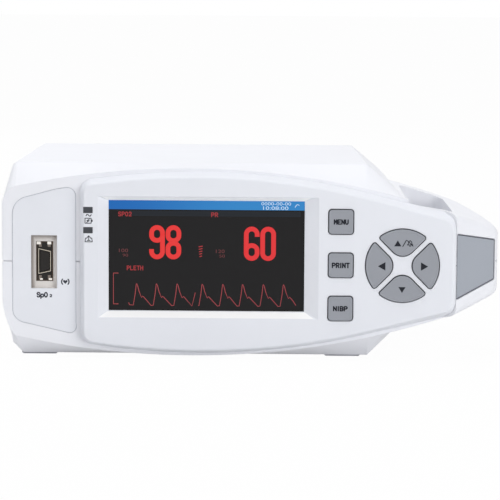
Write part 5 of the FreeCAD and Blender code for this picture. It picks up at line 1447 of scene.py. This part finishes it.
# ---------------------------------------------------------------- printed marks on the case
@dataclass
class FrontMarks:
    """Marks on the bezel and the sensor plate, and the joints round plate and lens, in millimetres."""

    line: float = 0.4                   # width of the marks' lines
    print_proud: float = 0.015          # ink above its face
    joint: float = 0.45                 # width of the line round the lens
    joint_proud: float = 0.03           # its height above the lens
    joint_depth: float = 0.02           # its thickness
    hole_share: tuple[float, float] = (0.7, 0.3)        # part of the plate that holds its hole
    level: float = 0.01                 # by which points of one plane may differ
    seat_gap: float = 0.3               # width of the seal round the plate
    seat_depth: float = 0.12            # seal below the plate's face
    seal_depth: float = 0.2             # thickness of the seal
    pane: tuple[float, float] = (4.3, 3.0)  # of a status light
    pane_shift: float = 0.6             # panes left of the light pipes
    pane_margin: float = 1.45           # from the pipes' end to a pane's middle
    pane_depth: float = 0.05            # its thickness
    pane_corner: float = 0.15
    pane_proud: float = 0.02            # pane above the bezel
    mark_shift: float = 0.1             # marks left of the light pipes
    battery_drop: float = 5.2           # below the upper light
    battery_tip: tuple[float, float] = (0.55, 1.1)      # its width and height
    tip_depth: float = 0.02             # its thickness
    mains_drop: float = 2.55            # below the upper light
    charge_drop: float = 4.3            # below the lower light
    label_place: tuple[float, float] = (0.05, -16.2)    # from the socket's middle
    label_size: tuple[float, float] = (4.9, 2.1)        # of its capitals
    label_line: float = 0.62            # width of its lines
    label_space: float = 0.42           # between two letters, as a share of a letter's width
    index_place: tuple[float, float] = (3.2, -0.4)      # small figure, from the label's middle
    index_size: tuple[float, float] = (0.75, 1.15)
    index_line: float = 0.42            # width of the small figure's line
    patient_place: tuple[float, float] = (10.35, -9.7)  # from the socket's middle
    heart_half: float = 1.1             # half its width
    wave_radius: float = 1.8            # of the two arcs round the heart
    ink: bpy.types.Material = field(init=False)

    def put(self, name: str, bm: bmesh.types.BMesh, x: float, z: float, y: float) -> None:
        """Prints a mark: its middle at x and z in millimetres, on a face at y in metres."""
        place = Vector((x * MM, y - self.print_proud * MM, z * MM))
        MeshShop.piece(name, MeshShop.placed(bm, Facing.FRONT, place), self.ink, "housing", "bezel_shell")

    def build(self) -> None:
        """Makes the marks."""
        self.ink = PrintedInk("mark_grey", paint(52, 55, 64)).make()
        low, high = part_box("status_light_pipes")
        column = (low.x + high.x) / 2 / MM
        upper = high.z / MM - self.pane_margin
        lower = low.z / MM + self.pane_margin
        self.status_panes(column - self.pane_shift, (upper, lower))
        self.gasket()
        self.lens_line()
        self.status_marks(column - self.mark_shift, upper, lower)
        self.plate_marks()

    def status_panes(self, column: float, levels: tuple[float, float]) -> None:
        """Adds the smoked windows of the two status lights.

        Args:
            column: their middle in millimetres.
            levels: their heights in millimetres.
        """
        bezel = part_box("front_bezel")[0].y
        smoke = FINISHES["status_smoke"].make()
        for index, level in enumerate(levels):
            pane = MeshShop.slab(*self.pane, self.pane_depth, self.pane_corner, 2)
            place = Vector((column * MM, bezel - self.pane_proud * MM, level * MM))
            MeshShop.piece(f"status_pane_{index}", MeshShop.placed(pane, Facing.FRONT, place), smoke,
                           "housing", "status_smoke")

    def status_marks(self, column: float, upper: float, lower: float) -> None:
        """Prints the marks of battery, mains and charge under the status lights.

        Args:
            column: their middle in millimetres.
            upper: height of the upper light.
            lower: height of the lower light.
        """
        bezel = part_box("front_bezel")[0].y
        cell = [(-1.75, -1.2), (1.2, -1.2), (1.2, 1.2), (-1.75, 1.2), (-1.75, -1.2)]
        bolt = [(0.35, 0.75), (-0.85, 0.0), (0.3, 0.0), (-0.9, -0.75)]
        tip = MeshShop.moved(MeshShop.slab(*self.battery_tip, self.tip_depth), 1.65, 0.0)
        battery = MeshShop.join(MeshShop.lines([cell, bolt], self.line), tip)
        self.put("battery_mark", battery, column, upper - self.battery_drop, bezel)
        swing = [(-1.25, -0.3), (-0.85, 0.4), (-0.35, 0.4), (0.35, -0.4), (0.85, -0.4), (1.25, 0.3)]
        self.put("mains_mark", MeshShop.lines([swing], self.line), column, upper - self.mains_drop, bezel)
        tray = [(-0.8, 0.45), (-1.5, 0.45), (-1.75, -1.35), (1.75, -1.35), (1.5, 0.45), (0.8, 0.45)]
        shaft = [(0.0, -0.65), (0.0, 1.3)]
        head = [(-0.75, 0.75), (0.0, 1.55), (0.75, 0.75)]
        foot = [(-0.7, -0.65), (0.7, -0.65)]
        charge = MeshShop.lines([tray, shaft, head, foot], self.line)
        self.put("charge_mark", charge, column, lower - self.charge_drop, bezel)

    def plate_marks(self) -> None:
        """Prints the socket's label and the patient mark on the sensor plate."""
        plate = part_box("sensor_plate")[0].y
        recess = middle("socket_shell")
        x, z = recess.x / MM, recess.z / MM
        letters = MeshShop.letters("SpO", *self.label_size, self.label_line, self.label_space)
        capitals = MeshShop.moved(letters, -1.0, 0.0)
        index = MeshShop.moved(MeshShop.letters("2", *self.index_size, self.index_line), *self.index_place)
        self.put("sensor_label", MeshShop.join(capitals, index), x + self.label_place[0],
                 z + self.label_place[1], plate)
        sides = [arc(0, 0, self.wave_radius, start, start + 84, 8) for start in (138, -42)]
        patient = MeshShop.join(self.heart(self.heart_half), MeshShop.lines(sides, self.label_line))
        self.put("patient_mark", patient, x + self.patient_place[0], z + self.patient_place[1], plate)

    def gasket(self) -> None:
        """Adds the soft grey seal that fills the joint round the sensor plate."""
        bm = MeshShop.merged("sensor_plate")
        front = min(v.co.y for v in bm.verts)
        MeshShop.only(bm, [f for f in bm.faces
                           if all(abs(v.co.y - front) < self.level * MM for v in f.verts)])
        hole = middle("socket_shell")
        low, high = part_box("sensor_plate")
        across = min(high.x - hole.x, hole.x - low.x) * self.hole_share[0]
        upwards = (high.z - low.z) * self.hole_share[1]
        inner = [e for e in bm.edges
                 if e.is_boundary and all(abs(v.co.x - hole.x) < across and abs(v.co.z - hole.z) < upwards
                                          for v in e.verts)]
        bmesh.ops.holes_fill(bm, edges=inner, sides=0)
        plate = list(bm.faces)
        rim = [e for e in bm.edges if e.is_boundary]
        outer = MeshShop.new_points(bmesh.ops.extrude_edge_only(bm, edges=rim))
        centre = (low + high) / 2
        grow = Vector((1 + 2 * self.seat_gap * MM / (high.x - low.x), 1.0,
                       1 + 2 * self.seat_gap * MM / (high.z - low.z)))
        bmesh.ops.scale(bm, vec=grow, space=Matrix.Translation(-centre), verts=outer)
        bmesh.ops.delete(bm, geom=plate, context="FACES")
        bmesh.ops.translate(bm, vec=(0, self.seat_depth * MM, 0), verts=bm.verts)
        bmesh.ops.recalc_face_normals(bm, faces=bm.faces)
        seal = Rubber("plate_seal", paint(196, 199, 207), roughness=0.7).make()
        MeshShop.piece("plate_seal", MeshShop.walled(bm, self.seal_depth * MM), seal, "housing",
                       "bezel_shell")

    def lens_line(self) -> None:
        """Adds the dark joint line round the alarm window."""
        bm = MeshShop.merged("alarm_lens")
        bmesh.ops.dissolve_limit(bm, angle_limit=math.radians(1.0), verts=bm.verts, edges=bm.edges)
        slanted = [f for f in bm.faces if f.normal.y < -0.2 and f.normal.x > 0.2]
        face = max(slanted, key=lambda f: f.calc_area())
        out = face.normal.copy()
        MeshShop.only(bm, [face])
        inner = MeshShop.inset(bm, self.joint * MM)
        bmesh.ops.delete(bm, geom=[inner], context="FACES")
        bmesh.ops.translate(bm, vec=out * self.joint_proud * MM, verts=bm.verts)
        shadow = Rubber("joint_shadow", paint(96, 99, 108), roughness=0.7).make()
        MeshShop.piece("lens_joint", MeshShop.walled(bm, self.joint_depth * MM), shadow, "housing",
                       "alarm_grey")

    @staticmethod
    def heart(size: float) -> bmesh.types.BMesh:
        """A filled heart.

        Args:
            size: half its width in millimetres.

        Returns:
            The mesh.
        """
        bm = bmesh.new()
        bmesh.ops.create_cone(bm, cap_ends=True, segments=32, radius1=1.0, radius2=1.0, depth=0.02)
        for vert in bm.verts:
            turn = math.atan2(vert.co.x, vert.co.y)
            vert.co.x = size * math.sin(turn) ** 3
            vert.co.y = size * (13 * math.cos(turn) - 5 * math.cos(2 * turn) - 2 * math.cos(3 * turn)
                                - math.cos(4 * turn)) / 16
        return bm


# ---------------------------------------------------------------- sensor socket
@dataclass(frozen=True)
class Tab:
    """A spring tab of the socket, in millimetres: its middle from the socket's, and its size."""

    x: float
    z: float
    width: float
    height: float


@dataclass
class SensorSocket:
    """Bright trim of the D-shaped socket in its recess, and dark pieces and a liner that carry painted
    shade, in millimetres.
    """

    mouth_long: float = 12.0            # height of the mouth at its left
    mouth_short: float = 9.2            # height at its right
    mouth_width: float = 5.5
    ring: float = 0.3                   # width of the mouth's rim
    ring_proud: float = 0.15            # rim in front of the shell
    ring_depth: float = 0.75            # of the rim
    filler_setback: float = 0.5         # filler behind the shell's front
    filler_depth: float = 0.2           # its thickness
    sheet: float = 0.35                 # thickness of the shell's metal
    recess: tuple[float, float] = (12.6, 26.0)  # in the sensor plate
    recess_depth: float = 3.5
    liner_wall: float = 0.15
    liner_gap: float = 0.08             # between the liner and the recess
    liner_setback: float = 0.25         # its edge behind the plate's face
    floor_lift: float = 0.05            # its floor in front of the recess's
    hole_gap: float = 0.1               # round the shell, both sides together
    tongue_setback: float = 0.35        # tongue behind the shell's front
    tongue_clear: float = 0.45          # between the tongue and the mouth
    tongue_depth: float = 0.6
    tab_depth: float = 0.5
    tab_corner: float = 0.15
    tab_proud: float = 0.08             # tabs in front of the shell's front
    tabs: tuple[Tab, ...] = (Tab(-2.9, 8.95, 2.0, 1.4), Tab(2.3, 8.95, 1.9, 1.4),
                             Tab(-1.6, -8.85, 1.3, 0.8), Tab(2.8, -8.85, 1.6, 0.9))
    # Painted shade: a near-black finish for the pieces that stand for the shade inside the socket.
    dark: MouldedPlastic = MouldedPlastic("socket_shadow", paint(30, 27, 25), roughness=0.5, wear=0.1)

    @staticmethod
    def place() -> Vector:
        """The middle of the shell's front.

        Returns:
            The place, in metres.
        """
        place = middle("socket_shell")
        place.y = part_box("socket_shell")[0].y
        return place

    @staticmethod
    def shell_size() -> tuple[float, float]:
        """Width and height of the shell, in millimetres."""
        low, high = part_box("socket_shell")
        return ((high.x - low.x) / MM, (high.z - low.z) / MM)

    def put(self, name: str, bm: bmesh.types.BMesh, material: bpy.types.Material, slot: str,
            back: float = 0.0, smooth: float | None = None) -> None:
        """Places a part of the trim.

        Args:
            name: the piece's name.
            bm: its mesh in millimetres.
            material: its material.
            slot: the record's slot for its finish.
            back: how far behind the shell's front it sits.
            smooth: the angle in degrees up to which edges are shaded soft.
        """
        spot = self.place() + Vector((0, back * MM, 0))
        MeshShop.piece(name, MeshShop.placed(bm, Facing.FRONT, spot), material, "housing", slot, smooth)

    def mouth(self, grow: float) -> bmesh.types.BMesh:
        """Face in the mouth's outline, wide on its left side.

        Args:
            grow: how far outside the mouth it reaches, in millimetres.

        Returns:
            One face, in millimetres, looking up.
        """
        bm = bmesh.new()
        bmesh.ops.create_grid(bm, x_segments=1, y_segments=1, size=self.mouth_width / 2 + grow)
        for vert in bm.verts:
            tall = self.mouth_long if vert.co.x < 0 else self.mouth_short
            vert.co.y = math.copysign(tall / 2 + grow, vert.co.y)
        return bm

    def tray(self, width: float, height: float) -> bmesh.types.BMesh:
        """Open tray that lines the recess round the socket.

        Args:
            width: of the recess, in millimetres.
            height: of the recess.

        Returns:
            The tray, in millimetres, with its floor at 0.
        """
        hole_width, hole_height = (side + self.hole_gap for side in self.shell_size())
        bm = MeshShop.panel(width, height)
        inner = MeshShop.inset(bm, (width - hole_width) / 2)
        stretch = hole_height / 2 / max(v.co.y for v in inner.verts)
        bmesh.ops.scale(bm, vec=(1.0, stretch, 1.0), verts=inner.verts)
        bmesh.ops.delete(bm, geom=[inner], context="FACES")
        outer = [e for e in bm.edges if e.is_boundary and max(v.co.length for v in e.verts) > height / 2]
        walls = bmesh.ops.extrude_edge_only(bm, edges=outer)
        rise = self.recess_depth - self.floor_lift - self.liner_setback
        bmesh.ops.translate(bm, vec=(0, 0, rise), verts=MeshShop.new_points(walls))
        bmesh.ops.recalc_face_normals(bm, faces=bm.faces)
        return MeshShop.walled(bm, self.liner_wall)

    def liner(self) -> None:
        """Lines the recess with a sheet of painted shade, darker towards its left and top."""
        low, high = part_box("socket_shell")
        place = self.place()
        wide, tall = (side - 2 * self.liner_gap for side in self.recess)
        # The liner's finish paints shade towards the recess's left wall and top.
        wear_and_shade = ShadedPlastic("recess_taupe_painted_shade", paint(234, 230, 227), paint(150, 141, 136),
                             (place.x - wide / 2 * MM, low.x), (high.z, place.z + tall / 2 * MM))
        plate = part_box("sensor_plate")[0].y
        back = (plate - place.y) / MM + self.recess_depth - self.floor_lift
        self.put("recess_liner", self.tray(wide, tall), wear_and_shade.make(), "bezel_shell", back)

    def tongue(self) -> None:
        """Adds the tongue in the socket's mouth, dark with painted shade."""
        bm = MeshShop.walled(self.mouth(-self.tongue_clear), self.tongue_depth)
        self.put("socket_tongue", bm, self.dark.make(), "socket_black", self.tongue_setback)

    def rim(self) -> None:
        """Adds the bright rim of the mouth."""
        pale = SheetMetal("mouth_rim", paint(214, 206, 192), roughness=0.5)
        bm = self.mouth(self.ring)
        inner = MeshShop.inset(bm, self.ring)
        bmesh.ops.delete(bm, geom=[inner], context="FACES")
        lower = bmesh.ops.extrude_face_region(bm, geom=list(bm.faces), use_keep_orig=True)
        bmesh.ops.translate(bm, vec=(0, 0, -self.ring_depth), verts=MeshShop.new_points(lower))
        bmesh.ops.recalc_face_normals(bm, faces=bm.faces)
        self.put("mouth_rim", MeshShop.moved(bm, 0, 0, self.ring_proud), pale.make(), "socket_nickel",
                 smooth=30)

    def filler(self) -> None:
        """Fills the shell round the mouth with a plate, dark with painted shade."""
        width, height = self.shell_size()
        bm = MeshShop.panel(width - 2 * self.sheet, height - 2 * self.sheet)
        slope = math.atan2((self.mouth_long - self.mouth_short) / 2, self.mouth_width)
        sides = [(Vector((side * self.mouth_width / 2, 0, 0)), Vector((side, 0, 0))) for side in (-1, 1)]
        sides += [(Vector((0, side * (self.mouth_long + self.mouth_short) / 4, 0)),
                   Vector((math.sin(slope), side * math.cos(slope), 0))) for side in (-1, 1)]
        for point, normal in sides:
            bmesh.ops.bisect_plane(bm, geom=list(bm.verts) + list(bm.edges) + list(bm.faces),
                                   plane_co=point, plane_no=normal)
        inside = [f for f in bm.faces
                  if all((f.calc_center_median() - point).dot(normal) < 0 for point, normal in sides)]
        bmesh.ops.delete(bm, geom=inside, context="FACES")
        filler = MeshShop.moved(MeshShop.walled(bm, self.filler_depth), 0, 0, -self.filler_setback)
        self.put("socket_filler", filler, self.dark.make(), "socket_black")

    def spring_tabs(self) -> None:
        """Adds the bright tabs that hold the plug."""
        bright = SheetMetal("tab_bright", paint(250, 246, 240), roughness=0.5)
        slabs = [MeshShop.moved(MeshShop.slab(tab.width, tab.height, self.tab_depth, self.tab_corner, 2),
                                tab.x, tab.z, self.tab_proud) for tab in self.tabs]
        self.put("spring_tabs", MeshShop.join(*slabs), bright.make(), "socket_nickel")

    def build(self) -> None:
        """Makes the pieces of the trim."""
        self.liner()
        self.tongue()
        self.rim()
        self.filler()
        self.spring_tabs()


# ---------------------------------------------------------------- case trim
@dataclass
class CaseTrim:
    """Louvres, switch marks and labels on the case's rear and left side, in millimetres."""

    vent: tuple[float, float] = (46.0, 18.0)    # width and height of the louvres
    vent_place: tuple[float, float] = (-80.0, 27.0)     # their middle, across and up
    vent_frame: float = 1.5             # width of the frame
    frame_depth: float = 0.9            # of the frame
    bars: int = 6
    bar_height: float = 1.4             # of a bar
    bar_depth: float = 0.7
    bar_setback: float = 0.15           # bars behind the frame's face
    proud: float = 0.5                  # frame beyond the wall
    shadow_margin: float = 0.25         # from the frame's edge to the dark back
    shadow_depth: float = 0.3
    shadow_corner: float = 1.4
    shadow_proud: float = 0.05          # dark back beyond the wall
    print_proud: float = 0.015          # ink above its face
    switch_line: float = 0.45           # width of the switch marks' lines
    ring_radius: float = 1.2            # of the off mark
    bar_half: float = 1.3               # half the length of the on mark
    label_rise: float = 4.2             # label above the cuff port
    label_size: tuple[float, float] = (7.0, 2.1)
    label_line: float = 0.5             # width of its lines
    roll_inset: float = 7.0             # roll mark from the door's corner
    roll_radius: float = 1.9            # of the roll mark
    roll_core: float = 0.6              # of its core
    roll_line: float = 0.4              # width of its lines
    ink: bpy.types.Material = field(init=False)

    @staticmethod
    def reach(node: str, start: Vector, way: Vector) -> Vector:
        """Where a straight line first meets a CAD node.

        Args:
            node: the node's name.
            start: of the line, in metres.
            way: the line's direction.

        Returns:
            The place, in metres.
        """
        bm = MeshShop.merged(node)
        hit = BVHTree.FromBMesh(bm).ray_cast(start, way)[0]
        bm.free()
        return hit

    def louvres(self) -> None:
        """Adds the framed louvres low on the rear wall."""
        x, z = self.vent_place
        place = Vector((x * MM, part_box("lower_case")[1].y, z * MM))
        wide, tall = self.vent
        side = self.vent_frame
        margin = 2 * self.shadow_margin
        back = MeshShop.slab(wide - margin, tall - margin, self.shadow_depth, self.shadow_corner)
        back = MeshShop.moved(back, 0, 0, self.shadow_proud)
        shadow = MouldedPlastic("vent_shadow", paint(52, 53, 56), roughness=0.7, wear=0.0)
        MeshShop.piece("vent_shadow", MeshShop.placed(back, Facing.REAR, place), shadow.make(),
                       "housing", "case_shell")
        parts = [MeshShop.moved(MeshShop.slab(wide, side, self.frame_depth), 0,
                                way * (tall - side) / 2, self.proud) for way in (-1, 1)]
        parts += [MeshShop.moved(MeshShop.slab(side, tall - 2 * side, self.frame_depth),
                                 way * (wide - side) / 2, 0, self.proud) for way in (-1, 1)]
        step = (tall - 2 * side) / self.bars
        for index in range(self.bars):
            bar = MeshShop.slab(wide - side, self.bar_height, self.bar_depth, 0.2, 2)
            rise = (index - (self.bars - 1) / 2) * step
            parts.append(MeshShop.moved(bar, 0, rise, self.proud - self.bar_setback))
        grille = MeshShop.placed(MeshShop.join(*parts), Facing.REAR, place)
        MeshShop.piece("vent_louvres", grille, FINISHES["case_shell"].make(), "housing", "case_shell")

    def switch_marks(self) -> None:
        """Prints the ring and the bar on the two halves of the mains switch."""
        white = PrintedInk("switch_white", paint(226, 228, 230)).make()
        bm = MeshShop.merged("power_rocker")
        bmesh.ops.dissolve_limit(bm, angle_limit=math.radians(1.0), verts=bm.verts, edges=bm.edges)
        pads = sorted((f for f in bm.faces if f.normal.y > 0.85), key=lambda f: -f.calc_area())[:2]
        centre = middle("power_rocker").z
        for pad in pads:
            upper = pad.calc_center_median().z > centre
            ring = arc(0, 0, self.ring_radius, 0, 360, 24)
            path = ring if upper else [(0, -self.bar_half), (0, self.bar_half)]
            mark = MeshShop.placed(MeshShop.lines([path], self.switch_line), Facing.REAR, Vector())
            tilt = Matrix.Rotation(math.atan2(pad.normal.z, pad.normal.y), 4, "X")
            spot = Matrix.Translation(pad.calc_center_bounds() + pad.normal * self.print_proud * MM)
            bmesh.ops.transform(mark, matrix=spot @ tilt, verts=mark.verts)
            MeshShop.piece("switch_off_mark" if upper else "switch_on_mark", mark, white, "power_switch",
                           "printer_plastic")
        bm.free()

    def put_label(self, name: str, bm: bmesh.types.BMesh, node: str, start: Vector, body: str) -> None:
        """Prints a label where a line from the left meets the case.

        Args:
            name: the label's name.
            bm: its mesh in millimetres.
            node: the CAD node it is printed on.
            start: a point left of the case, in metres.
            body: the body it rides on.
        """
        inwards = Vector((1.0, 0.0, 0.0))
        spot = self.reach(node, start, inwards) - inwards * self.print_proud * MM
        MeshShop.piece(name, MeshShop.placed(bm, Facing.LEFT, spot), self.ink, body, "case_shell")

    def side_labels(self) -> None:
        """Prints the label over the cuff port and the roll mark on the paper door."""
        self.ink = PrintedInk("side_mark_grey", paint(84, 88, 96)).make()
        outside = -1.0
        low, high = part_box("cuff_port")
        above = Vector((outside, (low.y + high.y) / 2, high.z + self.label_rise * MM))
        letters = MeshShop.letters("NIBP", *self.label_size, self.label_line)
        self.put_label("port_label", letters, "lower_case", above, "housing")
        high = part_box("printer_door")[1]
        corner = Vector((outside, high.y - self.roll_inset * MM, high.z - self.roll_inset * MM))
        radius = self.roll_radius
        loose_end = [(radius, 0.0), (radius, -3.2), (3.6, -3.2)]
        roll = MeshShop.lines([arc(0, 0, radius, 0, 360, 28), arc(0, 0, self.roll_core, 0, 360, 12),
                               loose_end], self.roll_line)
        self.put_label("paper_mark", roll, "printer_door", corner, "paper_door")

    def build(self) -> None:
        """Makes the trim."""
        self.louvres()
        self.switch_marks()
        self.side_labels()


# ---------------------------------------------------------------- stage
@dataclass(frozen=True)
class Lamp:
    """A soft square lamp, its place and target in metres and its power in watts."""

    name: str
    place: tuple[float, float, float]
    target: tuple[float, float, float]
    size: float
    power: float
    mirrored: bool = False

    def build(self) -> None:
        """Adds the lamp; only a mirrored one shows in shiny surfaces."""
        data = bpy.data.lights.new(self.name, "AREA")
        data.size = self.size
        data.energy = self.power
        made = bpy.data.objects.new(self.name, data)
        made.visible_glossy = self.mirrored
        aim = Vector(self.target) - Vector(self.place)
        turn = aim.to_track_quat("-Z", "Y").to_matrix().to_4x4()
        made.matrix_world = Matrix.Translation(self.place) @ turn
        bpy.context.scene.collection.objects.link(made)


@dataclass
class Stage:
    """Pale floor, soft light and the camera."""

    focal: float = 165.6                # length of the lens, in millimetres
    sensor: float = 36.0                # width in millimetres
    far_end: float = 50.0               # of what is seen, in metres
    place: tuple[float, float, float] = (14.8, -1181.3, 180.3)  # of the camera, in millimetres
    yaw: float = -0.8                   # in degrees, to the right
    pitch: float = 6.498                # in degrees, downwards
    roll: float = 0.35                  # in degrees
    floor_radius: float = 14.0          # in metres
    floor_drop: float = 0.05            # below the feet, in millimetres
    floor_share: float = 0.975          # of plain white in what the camera sees
    sky_strength: float = 0.4           # of its soft light
    lamps: tuple[Lamp, ...] = (
        Lamp("top_lamp", (-0.35, 0.0, 1.3), (0.0, 0.0, 0.05), 1.3, 10.6, mirrored=True),
        Lamp("rear_lamp", (-0.4, 1.5, 0.8), (0.0, 0.0, 0.05), 1.0, 3.4),
        Lamp("front_lamp", (0.85, -1.25, 0.5), (0.02, 0.0, 0.05), 0.9, 7.2),
        Lamp("low_lamp", (0.7, -1.3, 0.1), (0.06, 0.0, 0.03), 0.4, 2.8))

    def camera(self) -> None:
        """Sets up the camera."""
        data = bpy.data.cameras.new("camera")
        data.sensor_width = self.sensor
        data.lens = self.focal
        data.clip_end = self.far_end
        yaw, pitch, roll = (math.radians(a) for a in (self.yaw, self.pitch, self.roll))
        ahead = Vector((math.sin(yaw) * math.cos(pitch), math.cos(yaw) * math.cos(pitch), -math.sin(pitch)))
        right = Vector((math.cos(yaw), -math.sin(yaw), 0))
        up = right.cross(ahead)
        across = math.cos(roll) * right + math.sin(roll) * up
        upright = math.cos(roll) * up - math.sin(roll) * right
        turn = Matrix((across, upright, -ahead)).transposed().to_4x4()
        made = bpy.data.objects.new("camera", data)
        made.matrix_world = Matrix.Translation(Vector(self.place) * MM) @ turn
        bpy.context.scene.collection.objects.link(made)
        bpy.context.scene.camera = made

    def floor(self) -> None:
        """Adds the floor, white to the camera but for the object's shadow."""
        sheet = ShaderSheet("floor_white")
        grain = sheet.noise(30 * MM, 2.0)
        colour = sheet.tint(grain, (0.86, 0.86, 0.86, 1.0), (0.88, 0.88, 0.88, 1.0))
        matt = sheet.node("ShaderNodeBsdfDiffuse", {}, {"Color": colour})
        glow = sheet.node("ShaderNodeEmission", {}, {"Color": (1.0, 1.0, 1.0, 1.0), "Strength": 1.0})
        mask = sheet.seen() * self.floor_share
        sheet.finish(sheet.node("ShaderNodeMixShader", {}, {0: mask, 1: matt, 2: glow}))
        bm = bmesh.new()
        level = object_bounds()[0].z - self.floor_drop * MM
        bmesh.ops.create_circle(bm, cap_ends=True, segments=64, radius=self.floor_radius,
                                matrix=Matrix.Translation((0, 0, level)))
        mesh = bpy.data.meshes.new("floor")
        bm.to_mesh(mesh)
        bm.free()
        mesh.materials.append(sheet.owner)
        made = bpy.data.objects.new("floor", mesh)
        bpy.context.scene.collection.objects.link(made)
        made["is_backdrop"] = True

    def sky(self) -> None:
        """Sets the world: soft light all round, white to the camera."""
        sheet = SkySheet("studio")
        light = sheet.node("ShaderNodeBackground", {},
                           {"Color": (0.97, 0.98, 1.0, 1.0), "Strength": self.sky_strength})
        white = sheet.node("ShaderNodeBackground", {}, {"Color": (1.0, 1.0, 1.0, 1.0), "Strength": 1.0})
        sheet.finish(sheet.node("ShaderNodeMixShader", {}, {0: sheet.seen(), 1: light, 2: white}))
        bpy.context.scene.world = sheet.owner

    def build(self) -> None:
        """Makes the whole stage."""
        self.camera()
        self.sky()
        self.floor()
        for lamp in self.lamps:
            lamp.build()
        bpy.context.scene.view_settings.view_transform = "Standard"
        log.info("stage with %d lamps", len(self.lamps))


# ---------------------------------------------------------------- the rest
@dataclass
class Dresser:
    """Gives every CAD node its finish: its slot's, or its own where the slot has nodes of two kinds."""

    own: tuple[tuple[str, Rubber | SheetMetal], ...] = (
        ("rubber_feet", Rubber("foot_grey", paint(186, 187, 196), roughness=0.7)),
        ("socket_shell", SheetMetal("socket_bronze", paint(84, 72, 64), roughness=0.35)))

    @staticmethod
    def coat(node: str, material: bpy.types.Material) -> None:
        """Gives one node its material.

        Args:
            node: the node's name.
            material: the material.
        """
        mesh = frame["nodes"][node].data
        mesh.materials.clear()
        mesh.materials.append(material)

    def build(self) -> None:
        """Makes one material per slot and assigns it."""
        slots = {part["node"]: part["material_slot"] for part in frame["record"]["subparts"]}
        made: dict[str, bpy.types.Material] = {}
        for node, slot in slots.items():
            if slot not in made:
                made[slot] = FINISHES[slot].make()
            self.coat(node, made[slot])
        for node, finish in self.own:
            self.coat(node, finish.make())
        log.info("dressed %d nodes in %d finishes", len(slots), len(made))


def main() -> None:
    """Builds the scene in order."""
    logging.basicConfig(level=logging.INFO, format="%(message)s")
    Stage().build()
    Dresser().build()
    Display().build()
    KeyPad().build()
    FrontMarks().build()
    SensorSocket().build()
    CaseTrim().build()


if __name__ == "__main__":
    main()
